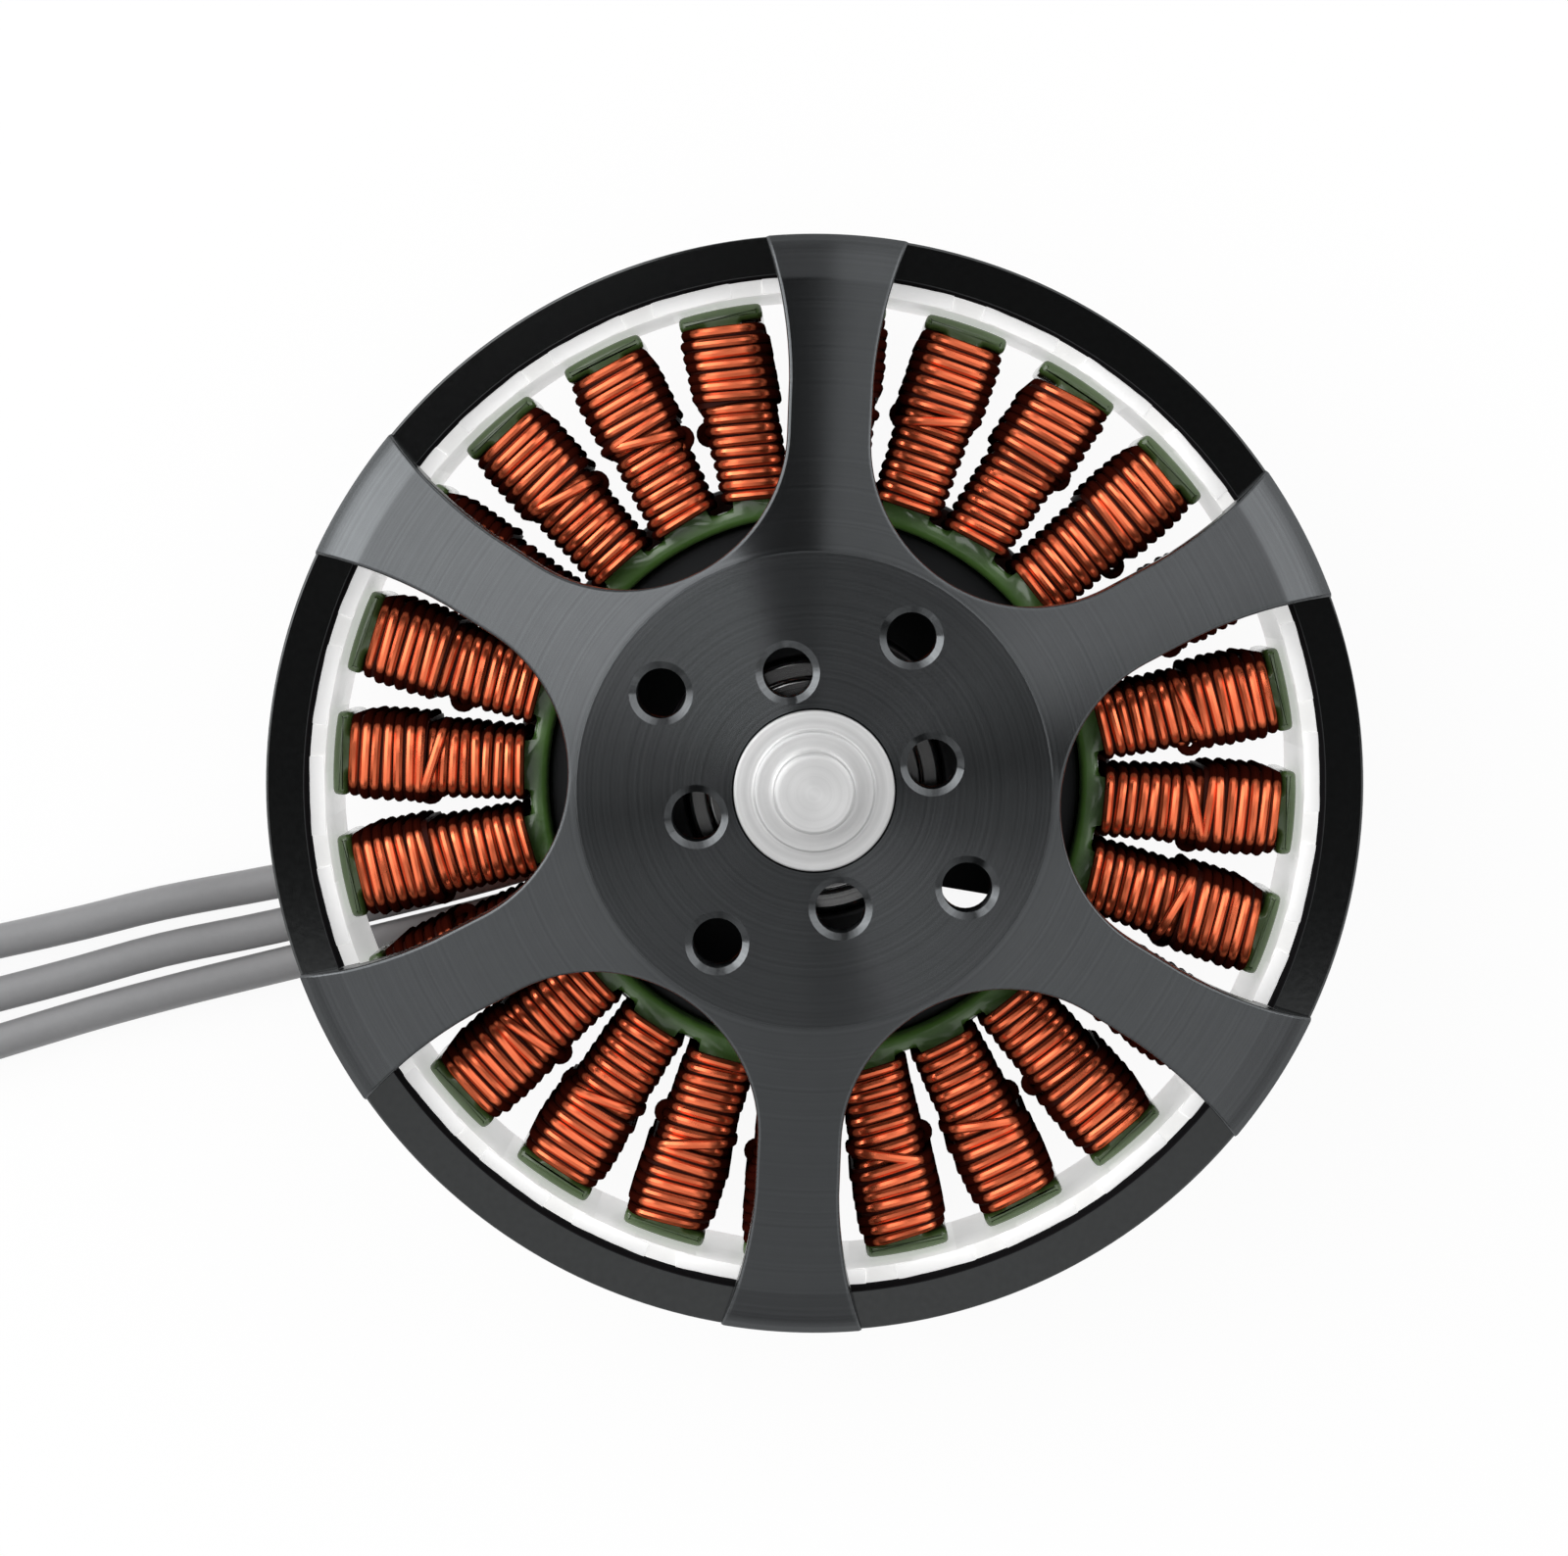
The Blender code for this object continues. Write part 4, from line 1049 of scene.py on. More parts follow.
def winding_route(sizes, picks):
    """The wire's middle line along a tooth on +X, turn by turn from the yoke to the tip."""
    radius = sizes.wire_diameter / 2
    start, last = winding_span(sizes)
    pitch = (last - start) / (sizes.turns - 1)
    face = (CORE_HIGH.z - CORE_LOW.z) / 2
    lean = picks.uniform(-COIL_LEAN, COIL_LEAN) * pitch
    route = []
    for turn in range(sizes.turns):
        share = min(turn / sizes.inner_turns, 1)
        width = sizes.root_width + (sizes.step_width - sizes.root_width) * share
        crown = sizes.inner_crown
        if turn >= sizes.inner_turns:
            width = sizes.outer_width
            crown = sizes.outer_crown
        if turn == sizes.turns - 1:
            width -= radius / 2
            crown -= radius / 2
        stray = sizes.looseness
        if abs(turn - sizes.inner_turns) < 2:
            stray *= STEP_STRAY
        width += picks.uniform(-stray, 0) - radius
        height = face + crown - radius + picks.uniform(-stray, 0)
        along = start + turn * pitch + picks.uniform(-stray, stray) * 0.5
        slant = lean + picks.uniform(-stray, stray)
        section = turn_section(width, height, sizes.bow)
        for i, (y, z) in enumerate(section):
            place = along + slant * y / width
            if z < -0.5 * height:
                place += (pitch / 2) * (1 - abs(y) / width) * (1 if i > len(section) / 2 else -1)
            route.append(Vector((place, y, z)))
    return route


def loop_route(sizes, picks):
    """A slack loop of wire that stands out of a coil's side at its step."""
    along = sum(winding_span(sizes)) / 2 + picks.uniform(-LOOP_SHIFT, LOOP_SHIFT)
    side = picks.choice((-1, 1))
    height = picks.uniform(*LOOP_HEIGHTS)
    loop = []
    for step in range(LOOP_STEPS + 1):
        turn = math.pi * (LOOP_ARC * step / LOOP_STEPS - (LOOP_ARC - 1) / 2)
        out = sizes.step_width - sizes.wire_diameter / 2 + sizes.loop_size * math.sin(turn)
        place = along + sizes.loop_size * math.cos(turn)
        loop.append(Vector((place, side * out, height + LOOP_RISE * step / LOOP_STEPS)))
    return loop


def crossing_route(sizes, picks):
    """A turn that crosses two others over a coil's step."""
    start, last = winding_span(sizes)
    pitch = (last - start) / (sizes.turns - 1)
    along = start + (sizes.inner_turns - CROSSING_BACK) * pitch
    slant = picks.choice((-1, 1)) * picks.uniform(*CROSSING_SLANTS) * pitch
    width = sizes.step_width - sizes.wire_diameter / 4
    height = (CORE_HIGH.z - CORE_LOW.z) / 2 + sizes.inner_crown + sizes.wire_diameter / 4
    section = turn_section(width, height, sizes.bow)
    low = CROSSING_END * height
    return [Vector((along + slant * y / width, y, z)) for y, z in section if z > low]


def inner_layers(sizes):
    """The layers of wire under the outer turns, as one body round each tooth."""
    stator = sizes_of("stator")
    radius = sizes.wire_diameter / 2
    start, last = winding_span(sizes)
    step = start + (last - start) * (sizes.inner_turns - 0.5) / (sizes.turns - 1)
    face = (CORE_HIGH.z - CORE_LOW.z) / 2
    inner_height = face + sizes.inner_crown - radius
    outer_height = face + sizes.outer_crown - radius
    tooth = (stator.tooth_width / 2 + SEAT_GAP, face + SEAT_GAP, 0)
    bow = sizes.bow
    rows = (
        (start, *tooth),
        (start, sizes.root_width - radius, inner_height, bow),
        (step, sizes.step_width - radius, inner_height, bow),
        (step, sizes.outer_width - radius, outer_height, bow),
        (last - radius, sizes.outer_width - radius, outer_height, bow),
        (last, sizes.outer_width - 2 * radius, outer_height - radius, bow),
        (last, *tooth),
        (start, *tooth),
    )
    sections = [turn_section(*row[1:]) for row in rows]
    shape = bmesh.new()

    def place(row, column):
        y, z = sections[row][column % len(sections[row])]
        return Vector((rows[row][0], y, z + CORE_MIDDLE))

    sheet(shape, len(rows) - 1, len(sections[0]), place)
    repeat_round(shape, stator.tooth_angle, stator.tooth_count)
    return closed_mesh("inner_layers", shape)


def painted_light_share(vert, side):
    """Painted shade mask: 1 where a wire's surface faces up, 0 on its flanks that face sideways and past
    the side of a coil.
    """
    inside = (side - abs(vert.co.y)) / PAINTED_SHADE_FADE
    return abs(vert.normal.z) * max(min(inside, 1.0), 0.0)


def wire_mesh(name, routes, diameter, side):
    """Round wire along each route, as one mesh that marks how far its surface faces up, for painted shade.
    """
    obj = link(name, wire_curve(name, routes, diameter, 3))
    mesh = evaluated_mesh(obj)
    bpy.data.objects.remove(obj)
    crown = mesh.attributes.new("crown", "FLOAT", "POINT")
    crown.data.foreach_set("value", [painted_light_share(vert, side) for vert in mesh.vertices])
    return mesh


def make_windings(sizes):
    # The inner turns are painted near black as shade
    layers = finish_of("varnished inner turns", layers_finish)
    add_piece("inner_layers", inner_layers(sizes), layers, "stator", "copper_wire")
    copper = finish_of("enamelled copper", copper_finish)
    stator = sizes_of("stator")
    picks = random.Random(sizes.seed)
    for i in range(stator.tooth_count):
        name = f"winding_{i + 1:02d}"
        routes = [winding_route(sizes, picks), loop_route(sizes, picks)]
        if picks.random() < CROSSING_SHARE:
            routes.append(crossing_route(sizes, picks))
        mesh = wire_mesh(name, routes, sizes.wire_diameter, sizes.step_width)
        turn = stator.tooth_angle + i * FULL_TURN / stator.tooth_count
        mesh.transform(Matrix.Translation((0, 0, CORE_MIDDLE)) @ Matrix.Rotation(turn, 4, "Z"))
        add_piece(name, mesh, copper, "stator", "copper_wire", f"coil_{i + 1:02d}")


# Base

WINDOW_STEPS = 14
WINDOW_CORNER = 0.0004
CHANNEL_CORNER = 0.0008


def base_walls(sizes):
    """Radii of the bearing seat, the tube round it, the sleeve's bore and its outside."""
    bearing = sizes_of("shaft").bearing_diameter / 2 + SEAT_GAP
    sleeve = sizes_of("stator").yoke_bore / 2 - SEAT_GAP
    return bearing, bearing + sizes.tube_wall, sleeve - sizes.sleeve_wall, sleeve


def window_cutter(shape, middle, sizes):
    """An opening between bearing tube and sleeve with rounded corners, as a cutter."""
    tube, sleeve_bore = base_walls(sizes)[1:3]
    corners = []
    sides = (
        (sleeve_bore - sizes.window_margin, -sizes.window_outer_span / 2),
        (tube + sizes.window_margin, sizes.window_inner_span / 2),
    )
    for radius, first in sides:
        for i in range(WINDOW_STEPS + 1):
            x, y, _ = polar(radius, middle + first * (1 - 2 * i / WINDOW_STEPS))
            corners.append((x, y, WINDOW_CORNER) if i in (0, WINDOW_STEPS) else (x, y))
    outline = [(x, y, -CUTTER_REACH) for x, y in filleted(*corners)]
    face = shape.faces.new([shape.verts.new(point) for point in outline])
    raise_faces(shape, [face], sizes.flange_thickness + 2 * CUTTER_REACH)


def channel_cutter(shape, sizes, mouth):
    """The leads' channel with rounded corners along its floor."""
    verts = bmesh.ops.create_cube(shape, size=1)["verts"]
    span = mouth - sizes.channel_start
    bmesh.ops.scale(shape, vec=(span, sizes.channel_width, 2 * sizes.channel_depth), verts=verts)
    edges = {
        edge for vert in verts for edge in vert.link_edges
        if abs(edge.verts[0].co.y - edge.verts[1].co.y) < WELD
        and abs(edge.verts[0].co.z - edge.verts[1].co.z) < WELD and edge.verts[0].co.z < 0
    }
    made = round_edges(shape, list(edges), CHANNEL_CORNER, 4)["verts"]
    verts = list({*made, *(vert for vert in verts if vert.is_valid)})
    middle = (sizes.channel_start + span / 2, 0, sizes.flange_thickness)
    bmesh.ops.translate(shape, vec=middle, verts=verts)
    bmesh.ops.rotate(shape, verts=verts, matrix=Matrix.Rotation(sizes.channel_angle, 3, "Z"))


def base_outline(sizes):
    """Section of the base: bearing tube, sleeve, stator seat and flange."""
    edge = sizes.edge_round
    bearing, tube, sleeve_bore, sleeve = base_walls(sizes)
    seat = sleeve + SEAT_GAP + sizes.seat_width
    flange = BASE_HIGH.x
    shoulder = bearing - sizes.bearing_shoulder
    shoulder_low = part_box("lower_bearing_outer_race")[1].z + SEAT_GAP
    shoulder_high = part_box("upper_bearing_outer_race")[0].z - SEAT_GAP
    return filleted(
        (bearing, BASE_HIGH.z, edge),
        (tube, BASE_HIGH.z, edge),
        (tube, sizes.flange_thickness, edge),
        (sleeve_bore, sizes.flange_thickness, edge),
        (sleeve_bore, sizes.sleeve_height, edge / 2),
        (sleeve, sizes.sleeve_height, edge),
        (sleeve, sizes.seat_height),
        (seat, sizes.seat_height, edge / 2),
        (seat, sizes.flange_thickness, edge),
        (flange, sizes.flange_thickness, 1.5 * edge),
        (flange, 0, edge),
        (bearing, 0, edge),
        (bearing, shoulder_low),
        (shoulder, shoulder_low),
        (shoulder, shoulder_high),
        (bearing, shoulder_high),
    )


def make_base(sizes):
    shape = bmesh.new()
    spin(shape, base_outline(sizes), 144)
    solid = closed_mesh("mounting_base", shape)
    cutters = bmesh.new()
    for i in range(sizes.window_count):
        window_cutter(cutters, sizes.window_angle + i * FULL_TURN / sizes.window_count, sizes)
    hole_circle(
        cutters, sizes.mount_circle, sizes.mount_angle, 0, 1, sizes.mount_depth, sizes_of("bell")
    )
    channel_cutter(cutters, sizes, BASE_HIGH.x + CUTTER_REACH)
    mesh = cut(solid, cutters)
    black = finish_of("black anodised aluminium", base_finish)
    add_piece("mounting_base", mesh, black, "stator", "black_anodised", "base_mount")


# Shaft, clip, shim and bearings

NOSE_DIMPLE = 0.16         # share of the stub's radius
GROOVE_DEPTH = 0.0003      # of the balls' track in a race
GROOVE_FILLET = 0.0007
CAGE_HALF_WALL = 0.00015
CAGE_HALF_HEIGHT = 0.0003
CAGE_EDGE = 0.00005


def make_shaft(sizes):
    steel = finish_of("turned steel", steel_finish)
    radius = sizes.diameter / 2
    flange = sizes.flange_diameter / 2
    stub = sizes.stub_diameter / 2
    flange_top = BELL_HIGH.z + sizes.flange_proud
    flange_bottom = flange_top - sizes.flange_thickness
    boss_top = flange_top + sizes.boss_height
    groove = radius - sizes.groove_depth
    outline = filleted(
        (0, SHAFT_HIGH.z),
        (stub * NOSE_DIMPLE, SHAFT_HIGH.z, 0.00005),
        (stub, SHAFT_HIGH.z, sizes.chamfer),
        (stub, boss_top, 0.00025),
        (radius, boss_top, 0.00018),
        (radius, flange_top, 0.00015),
        (flange, flange_top, 0.00016),
        (flange, flange_bottom, 0.0001),
        (radius, flange_bottom),
        (radius, CLIP_HIGH.z + SEAT_GAP),
        (groove, CLIP_HIGH.z + SEAT_GAP),
        (groove, CLIP_LOW.z - SEAT_GAP),
        (radius, CLIP_LOW.z - SEAT_GAP),
        (radius, SHAFT_LOW.z, sizes.chamfer),
        (0, SHAFT_LOW.z),
    )
    spun_piece("motor_shaft", outline, 128, steel, "rotor", "bright_steel", "shaft", on_axis=True)
    shim = ring_outline(radius + SEAT_GAP, SHIM_HIGH.x, SHIM_LOW.z, SHIM_HIGH.z, THIN_EDGE)
    spun_piece("bell_shim", shim, 96, steel, "rotor", "bright_steel", "shim_washer")
    make_clip(sizes, steel)


def make_clip(sizes, steel):
    """An open spring ring, which snaps into the shaft's groove."""
    shape = bmesh.new()
    inner = sizes.diameter / 2 - sizes.groove_depth + SEAT_GAP
    outline = ring_outline(inner, inner + sizes.clip_width, CLIP_LOW.z, CLIP_HIGH.z, THIN_EDGE)
    start = sizes.clip_opening / 2
    parts = chain(shape, [polar(radius, start, height) for radius, height in outline], closed=True)
    turn_round(shape, parts, FULL_TURN - sizes.clip_opening, 72)
    fill_openings(shape)
    mesh = closed_mesh("shaft_clip", shape)
    add_piece("shaft_clip", mesh, steel, "rotor", "bright_steel", "retaining_clip")


def race_walls(sizes):
    """Radii of the inner race's outside and the outer race's inside."""
    inner_wall = sizes.diameter / 2 + SEAT_GAP + sizes.inner_race_wall
    return inner_wall, sizes.bearing_diameter / 2 - sizes.outer_race_wall


def make_balls(name, middle, sizes, steel, *nodes):
    """A bearing's balls in their ribbon cage."""
    inner_wall, outer_wall = race_walls(sizes)
    track = (inner_wall + outer_wall) / 2
    shape = bmesh.new()
    for i in range(sizes.ball_count):
        place = Matrix.Translation(polar(track, i * FULL_TURN / sizes.ball_count, middle))
        bmesh.ops.create_uvsphere(
            shape, u_segments=24, v_segments=14, radius=sizes.ball_diameter / 2, matrix=place
        )
    low, high = middle - CAGE_HALF_HEIGHT, middle + CAGE_HALF_HEIGHT
    cage = ring_outline(track - CAGE_HALF_WALL, track + CAGE_HALF_WALL, low, high, CAGE_EDGE)
    spin(shape, cage, 96)
    add_piece(name, closed_mesh(name, shape), steel, "stator", "bearing_steel", *nodes)


def make_bearing(place, sizes):
    """A shielded ball bearing: two races, a caged ball set and a shield on each side."""
    steel = finish_of("bearing steel", bearing_finish)
    low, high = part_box(place + "_bearing_outer_race")
    middle = (low.z + high.z) / 2
    bore = sizes.diameter / 2 + SEAT_GAP
    outer = sizes.bearing_diameter / 2
    inner_wall, outer_wall = race_walls(sizes)
    half_groove = sizes.ball_diameter / 2
    inner_race = filleted(
        (bore, high.z, 0.00015),
        (inner_wall, high.z, THIN_EDGE),
        (inner_wall, middle + half_groove),
        (inner_wall - GROOVE_DEPTH, middle, GROOVE_FILLET),
        (inner_wall, middle - half_groove),
        (inner_wall, low.z, THIN_EDGE),
        (bore, low.z, 0.00015),
    )
    outer_race = filleted(
        (outer_wall, high.z, 0.0002),
        (outer, high.z, 0.0003),
        (outer, low.z, 0.0002),
        (outer_wall, low.z, THIN_EDGE),
        (outer_wall, middle - half_groove),
        (outer_wall + GROOVE_DEPTH, middle, GROOVE_FILLET),
        (outer_wall, middle + half_groove),
    )
    name, node = place + "_race_inner", place + "_bearing_inner_race"
    spun_piece(name, inner_race, 120, steel, "rotor", "bearing_steel", node)
    name, node = place + "_race_outer", place + "_bearing_outer_race"
    spun_piece(name, outer_race, 144, steel, "stator", "bearing_steel", node)
    make_balls(place + "_caged_balls", middle, sizes, steel, place + "_bearing_balls_and_cage")
    for side in ("lower", "upper"):
        name, node = f"{place}_{side}_cover", f"{place}_bearing_{side}_shield"
        bottom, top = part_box(node)
        inner = inner_wall + 2 * SEAT_GAP
        outline = ring_outline(inner, outer_wall - SEAT_GAP, bottom.z, top.z, THIN_EDGE)
        spun_piece(name, outline, 120, steel, "stator", "bearing_steel", node)


# Leads

# Middle line of each lead, from inside the motor to its connector
LEAD_ROUTES = (
    (
        (-0.01420, -0.00212, 0.00335), (-0.01700, -0.00315, 0.00300), (-0.02200, -0.00460, 0.00190),
        (-0.02960, -0.00620, 0.00106), (-0.03580, -0.00738, 0.00098), (-0.04230, -0.00895, 0.00098),
        (-0.05600, -0.01180, 0.00098), (-0.07000, -0.01400, 0.00098), (-0.08200, -0.01530, 0.00135),
        (-0.09140, -0.01600, 0.00180),
    ),
    (
        (-0.01350, -0.00420, 0.00335), (-0.01640, -0.00525, 0.00300), (-0.02160, -0.00670, 0.00190),
        (-0.02960, -0.00866, 0.00106), (-0.03580, -0.00996, 0.00098), (-0.04230, -0.01176, 0.00098),
        (-0.05600, -0.01530, 0.00098), (-0.06900, -0.01850, 0.00098), (-0.08050, -0.02080, 0.00135),
        (-0.09000, -0.02240, 0.00180),
    ),
    (
        (-0.01290, -0.00626, 0.00335), (-0.01570, -0.00725, 0.00300), (-0.02100, -0.00870, 0.00190),
        (-0.02960, -0.01085, 0.00106), (-0.03580, -0.01240, 0.00098), (-0.04230, -0.01425, 0.00098),
        (-0.05500, -0.01830, 0.00098), (-0.06700, -0.02290, 0.00098), (-0.07800, -0.02720, 0.00135),
        (-0.08700, -0.03060, 0.00180),
    ),
)
STEPS_BETWEEN = 4

# Middle line of a winding's end: distance from the axis, height
TAIL_POINTS = (
    (0.01480, 0.00340), (0.01420, 0.00352), (0.01404, 0.00395), (0.01424, 0.00446),
    (0.01478, 0.00500), (0.01540, 0.00560), (0.01600, 0.00640), (0.01640, 0.00730),
)


def smooth_route(points):
    """The route's points with more between them, on a smooth curve through them all."""
    points = [Vector(point) for point in points]
    ends = [2 * points[0] - points[1], *points, 2 * points[-1] - points[-2]]
    route = []
    for a, b, c, d in zip(ends, ends[1:], ends[2:], ends[3:]):
        for step in range(STEPS_BETWEEN):
            t = step / STEPS_BETWEEN
            bend = (2 * a - 5 * b + 4 * c - d) * t**2
            twist = (3 * b - a - 3 * c + d) * t**3
            route.append((2 * b + (c - a) * t + bend + twist) / 2)
    return route + [points[-1]]


def make_connector(name, points, sizes):
    """A gold bullet connector along +Z from its solder cup, laid along the lead's last stretch."""
    cup = sizes.cup_diameter / 2
    neck = sizes.neck_diameter / 2
    barrel = sizes.barrel_diameter / 2
    neck_start = sizes.cup_length
    barrel_start = neck_start + sizes.neck_length
    barrel_end = barrel_start + sizes.barrel_length
    tip = barrel_end + sizes.tip_length
    outline = filleted(
        (0, tip),
        (neck, tip, 0.0002),
        (barrel, barrel_end, 0.0004),
        (barrel, barrel_start, 0.0003),
        (neck, barrel_start, 0.0002),
        (neck, neck_start, 0.0002),
        (cup, neck_start, 0.0003),
        (cup, 0, 0.00015),
        (0, 0),
    )
    shape = bmesh.new()
    spin(shape, outline, 48, on_axis=True)
    mesh = closed_mesh(name, shape)
    end, before = Vector(points[-1]), Vector(points[-2])
    heading = math.atan2(end.y - before.y, end.x - before.x)
    turned = Matrix.Rotation(heading, 4, "Z") @ Matrix.Rotation(math.pi / 2, 4, "Y")
    mesh.transform(Matrix.Translation(end + polar(sizes.gap, heading)) @ turned)
    return mesh


def tail_route(start):
    """The winding's end, from inside its lead up past the stator's seat to the underside of a coil."""
    out = Vector((start[0], start[1], 0)).normalized()
    return [out * reach + Vector((0, 0, height)) for reach, height in TAIL_POINTS]


def make_leads(sizes):
    copper = finish_of("enamelled copper", copper_finish)
    tails = [tail_route(points[0]) for points in LEAD_ROUTES]
    # The winding's ends take the copper's painted shade on flanks that face sideways
    mesh = wire_mesh("phase_tails", tails, sizes.tail_diameter, RING_HIGH.x)
    add_piece("phase_tails", mesh, copper, "stator", "copper_wire")
    silicone = finish_of("grey silicone", silicone_finish)
    gold = finish_of("gold plating", gold_finish)
    for number, points in enumerate(LEAD_ROUTES, 1):
        name = f"bullet_connector_{number}"
        mesh = make_connector(name, points, sizes)
        connector = add_piece(name, mesh, gold, "stator", "connector_gold", f"connector_{number}")
        name = f"phase_lead_{number}"
        curve = wire_curve(name, [smooth_route(points)], sizes.diameter, 8)
        curve.splines[0].use_smooth = True
        curve.materials.append(silicone)
        lead = link(name, curve)
        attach(lead, "stator")
        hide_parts(f"lead_{number}")


# Stage

# Each softbox hangs level: name, its turn from the rig's north, its span across and along that
# direction, and its brightness
SOFTBOXES = (
    ("north", 0, (0.00, 0.16), (0.18, 3.20), 0.95),
    ("far_north", 0, (-0.45, 0.35), (0.90, 1.80), 0.65),
    ("north_east", 0, (0.16, 0.75), (0.08, 3.20), 1.25),
    ("east", 0, (0.75, 2.80), (0.08, 3.20), 2.4),
    ("north_west", 22, (-0.70, 0.00), (0.10, 3.20), 2.25),
    ("west", 22, (-2.80, -0.70), (0.50, 3.20), 4.4),
    ("south", 0, (-0.20, 0.20), (-1.90, -0.066), 0.54),
    ("south_west", 0, (-1.90, -0.20), (-1.90, 0.00), 0.96),
    ("south_east", 0, (0.20, 1.90), (-1.90, 0.00), 0.87),
)
RIG_TURN = -2.4
CAMERA_TARGET = Vector((-0.00153, 0.0004, RING_HIGH.z))
FLOOR_DROP = 0.00002         # under the base, so that the two never share a plane
FLOOR_GLOW = 0.93            # share of plain white in the floor, less the motor's shadow
WORLD_STRENGTH = 0.07


def make_camera(stage):
    data = bpy.data.cameras.new("camera")
    data.lens = stage.focal_length
    data.clip_start = 0.01
    camera = link("camera", data)
    place = Vector((0, stage.camera_north, stage.camera_height))
    forward = (CAMERA_TARGET - place).normalized()
    right = forward.cross(Vector((0, 1, 0))).normalized()
    facing = Matrix((right, right.cross(forward), -forward)).transposed().to_4x4()
    camera.matrix_world = Matrix.Translation(place) @ facing
    bpy.context.scene.camera = camera


def make_softbox(name, turn, across, along, brightness, height):
    """A level area lamp over the motor."""
    data = bpy.data.lights.new(name, "AREA")
    data.shape = "RECTANGLE"
    data.size = across[1] - across[0]
    data.size_y = along[1] - along[0]
    data.energy = brightness * math.pi * data.size * data.size_y
    lamp = link(name, data)
    middle = Vector((sum(across) / 2, sum(along) / 2, height))
    turned = Matrix.Rotation(math.radians(RIG_TURN + turn), 4, "Z")
    lamp.matrix_world = turned @ Matrix.Translation(middle)


def make_floor(stage):
    """A pale floor that shows white to the camera and keeps some of the motor's shadow."""
    shape = bmesh.new()
    bmesh.ops.create_grid(shape, x_segments=1, y_segments=1, size=stage.floor_size)
    bmesh.ops.translate(shape, vec=(0, 0, -FLOOR_DROP), verts=shape.verts)
    mesh = bpy.data.meshes.new("floor")
    shape.to_mesh(mesh)
    shape.free()
    finish = Finish("pale floor", {"Base Color": (0.9, 0.9, 0.9), "Roughness": 0.9})
    path = finish.tree.nodes.new("ShaderNodeLightPath").outputs
    seen = Link(finish, path["Is Camera Ray"]).largest(Link(finish, path["Is Glossy Ray"]))
    seen = seen.largest(Link(finish, path["Is Transmission Ray"]))
    glow = finish.node("ShaderNodeEmission", inputs={"Color": (1, 1, 1), "Strength": 1.0})
    shader = Link(finish, finish.shader.outputs[0])
    both = finish.node("ShaderNodeMixShader", inputs={0: seen * FLOOR_GLOW, 1: shader, 2: glow})
    finish.feed(finish.tree.nodes["Material Output"].inputs["Surface"], both)
    mesh.materials.append(finish.material)
    link("floor", mesh)


def make_world():
    world = bpy.data.worlds.new("studio")
    world.use_nodes = True
    background = world.node_tree.nodes["Background"]
    background.inputs["Color"].default_value = (0.9, 0.9, 0.9, 1)
    background.inputs["Strength"].default_value = WORLD_STRENGTH
    bpy.context.scene.world = world


# Operators


class MOTOR_OT_stage(bpy.types.Operator):
    """Set the camera, the floor and the soft lights"""

    bl_idname = "motor.stage"
    bl_label = "Stage"

    def execute(self, context):
        context.scene.view_settings.view_transform = "Standard"
        make_camera(context.scene.motor_stage)
        make_floor(context.scene.motor_stage)
        make_world()
        for softbox in SOFTBOXES:
            make_softbox(*softbox, context.scene.motor_stage.light_height)
        return {"FINISHED"}


class MOTOR_OT_leads(bpy.types.Operator):
    """Add the three leads and their bullet connectors"""

    bl_idname = "motor.leads"
    bl_label = "Leads"

    def execute(self, context):
        make_leads(context.scene.motor_leads)
        return {"FINISHED"}


class MOTOR_OT_bell(bpy.types.Operator):
    """Add the bell: hub, six arms and threaded holes"""

    bl_idname = "motor.bell"
    bl_label = "Bell"

    def execute(self, context):
        mesh = bell_mesh(context.scene.motor_bell)
        finish = finish_of("grey anodised aluminium", bell_finish)
        add_piece("rotor_bell", mesh, finish, "rotor", "grey_anodised", "bell")
        return {"FINISHED"}


class MOTOR_OT_rotor_ring(bpy.types.Operator):
    """Add the ring with its magnets"""

    bl_idname = "motor.rotor_ring"
    bl_label = "Ring and magnets"

    def execute(self, context):
        make_rotor_ring(context.scene.motor_rotor)
        return {"FINISHED"}


class MOTOR_OT_stator_stack(bpy.types.Operator):
    """Add the coated lamination stack"""

    bl_idname = "motor.stator_stack"
    bl_label = "Stator stack"

    def execute(self, context):
        make_stator_stack(context.scene.motor_stator)
        return {"FINISHED"}


class MOTOR_OT_windings(bpy.types.Operator):
    """Wind a coil on each tooth"""

    bl_idname = "motor.windings"
    bl_label = "Windings"

    def execute(self, context):
        make_windings(context.scene.motor_windings)
        return {"FINISHED"}


class MOTOR_OT_mounting_base(bpy.types.Operator):
    """Add the mounting base with its bearing tube and stator sleeve"""

    bl_idname = "motor.mounting_base"
    bl_label = "Mounting base"

    def execute(self, context):
        make_base(context.scene.motor_base)
        return {"FINISHED"}


class MOTOR_OT_shaft(bpy.types.Operator):
    """Add the shaft with its clip and shim"""

    bl_idname = "motor.shaft"
    bl_label = "Shaft"

    def execute(self, context):
        make_shaft(context.scene.motor_shaft)
        return {"FINISHED"}


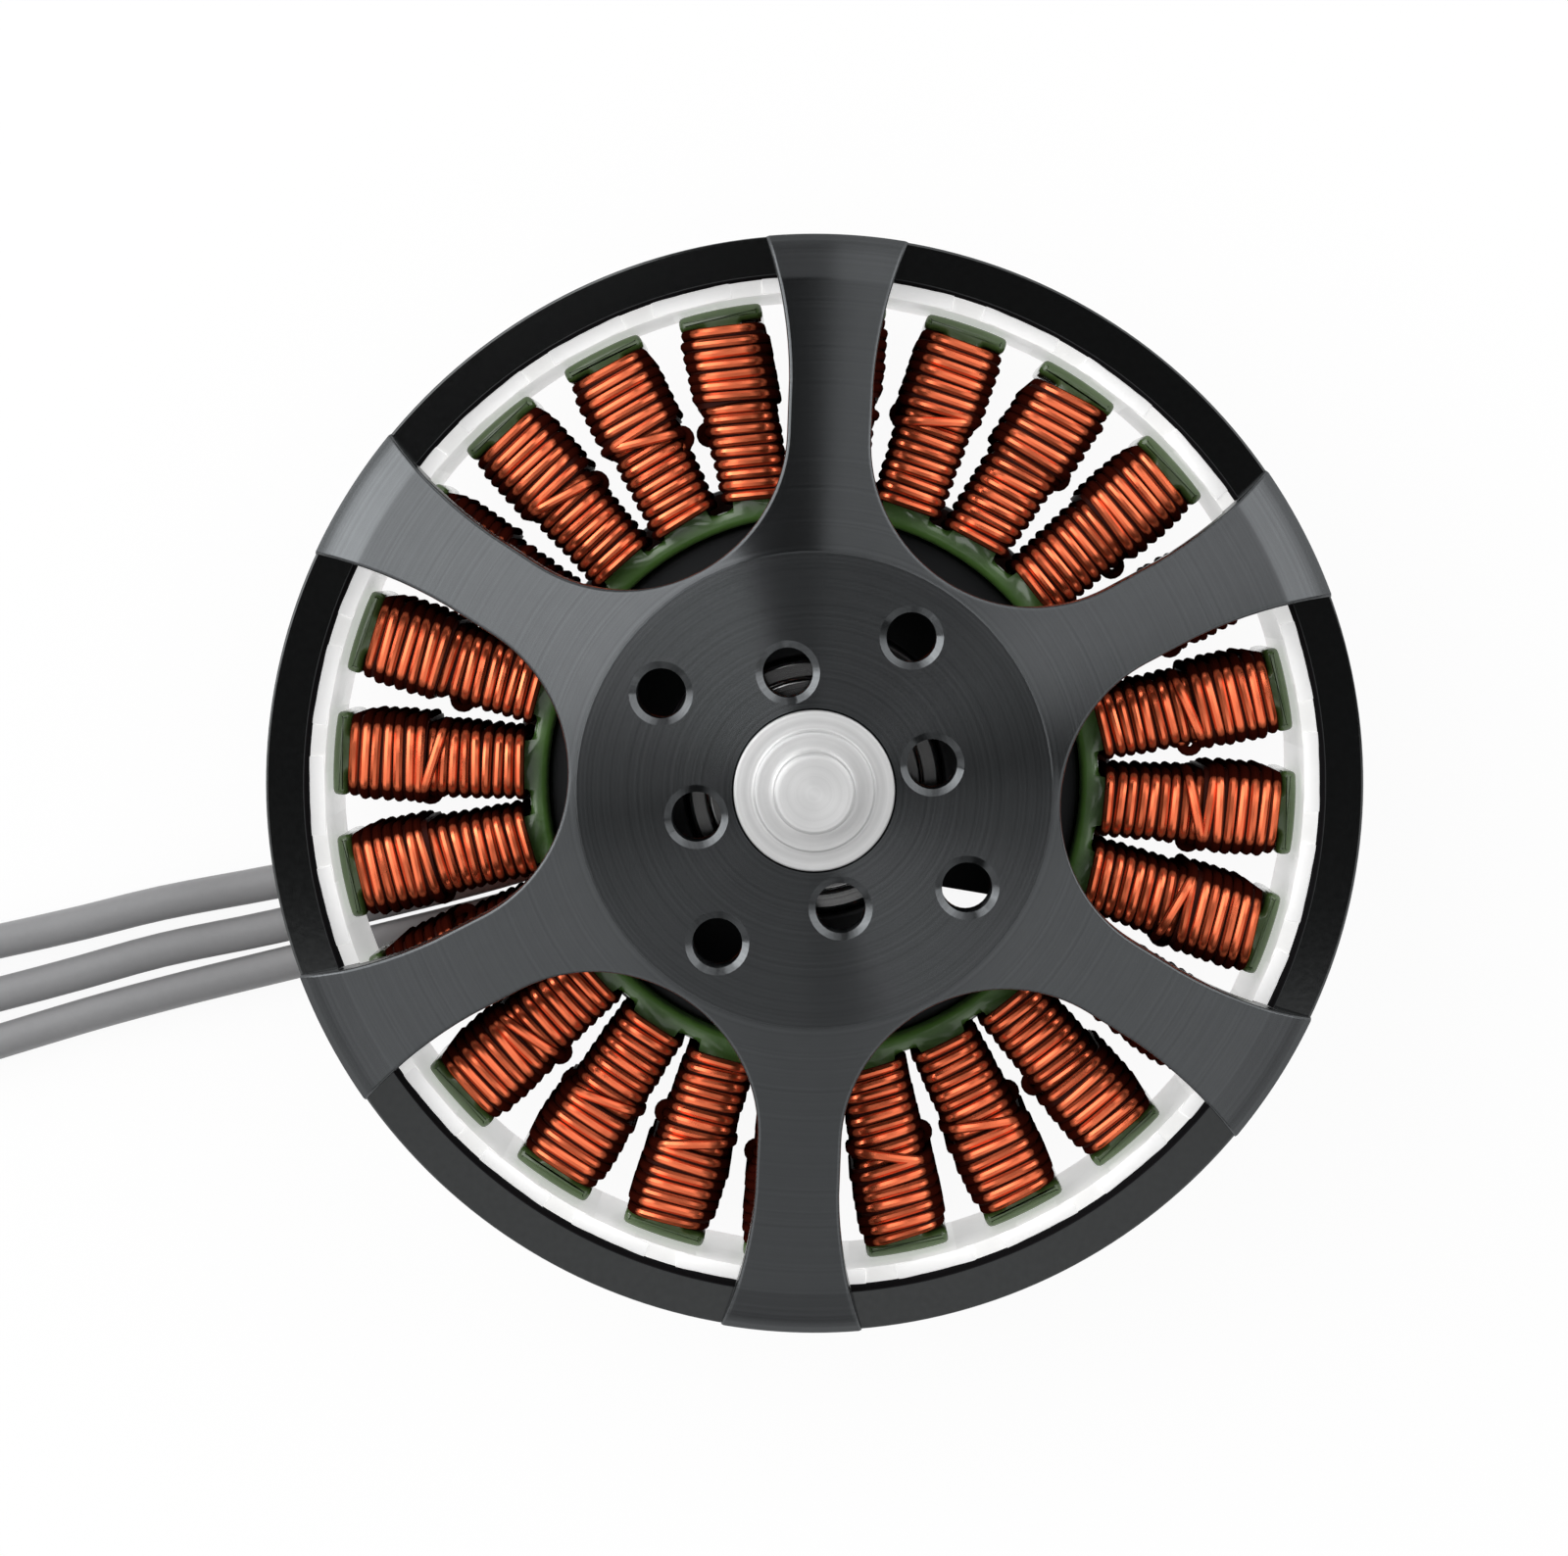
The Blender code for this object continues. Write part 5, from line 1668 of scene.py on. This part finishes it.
class MOTOR_OT_bearings(bpy.types.Operator):
    """Add the two ball bearings"""

    bl_idname = "motor.bearings"
    bl_label = "Bearings"

    def execute(self, context):
        make_bearing("lower", context.scene.motor_shaft)
        make_bearing("upper", context.scene.motor_shaft)
        return {"FINISHED"}


class MOTOR_PT_panel(bpy.types.Panel):
    """The motor's sizes and the buttons that add its pieces"""

    bl_idname = "MOTOR_PT_panel"
    bl_label = "Brushless motor"
    bl_space_type = "VIEW_3D"
    bl_region_type = "UI"
    bl_category = "Motor"

    def draw(self, context):
        for operator in OPERATORS:
            self.layout.operator(operator.bl_idname)
        for group in SIZE_GROUPS:
            box = self.layout.box()
            settings = sizes_of(group)
            for name in settings.__annotations__:
                box.prop(settings, name)


SIZE_GROUPS = {
    "stage": StageSizes,
    "colours": FinishColours,
    "leads": LeadSizes,
    "bell": BellSizes,
    "rotor": RotorSizes,
    "stator": StatorSizes,
    "windings": WindingSizes,
    "base": BaseSizes,
    "shaft": ShaftSizes,
}
OPERATORS = (
    MOTOR_OT_stage,
    MOTOR_OT_leads,
    MOTOR_OT_bell,
    MOTOR_OT_rotor_ring,
    MOTOR_OT_stator_stack,
    MOTOR_OT_windings,
    MOTOR_OT_mounting_base,
    MOTOR_OT_shaft,
    MOTOR_OT_bearings,
)


def register():
    for group, settings in SIZE_GROUPS.items():
        bpy.utils.register_class(settings)
        setattr(bpy.types.Scene, "motor_" + group, PointerProperty(type=settings))
    for operator in OPERATORS:
        bpy.utils.register_class(operator)
    bpy.utils.register_class(MOTOR_PT_panel)


def unregister():
    bpy.utils.unregister_class(MOTOR_PT_panel)
    for operator in reversed(OPERATORS):
        bpy.utils.unregister_class(operator)
    for group, settings in reversed(SIZE_GROUPS.items()):
        delattr(bpy.types.Scene, "motor_" + group)
        bpy.utils.unregister_class(settings)


def main():
    register()
    bpy.ops.motor.stage()
    bpy.ops.motor.leads()
    bpy.ops.motor.bell()
    bpy.ops.motor.rotor_ring()
    bpy.ops.motor.stator_stack()
    bpy.ops.motor.windings()
    bpy.ops.motor.mounting_base()
    bpy.ops.motor.shaft()
    bpy.ops.motor.bearings()


if __name__ == "__main__":
    main()
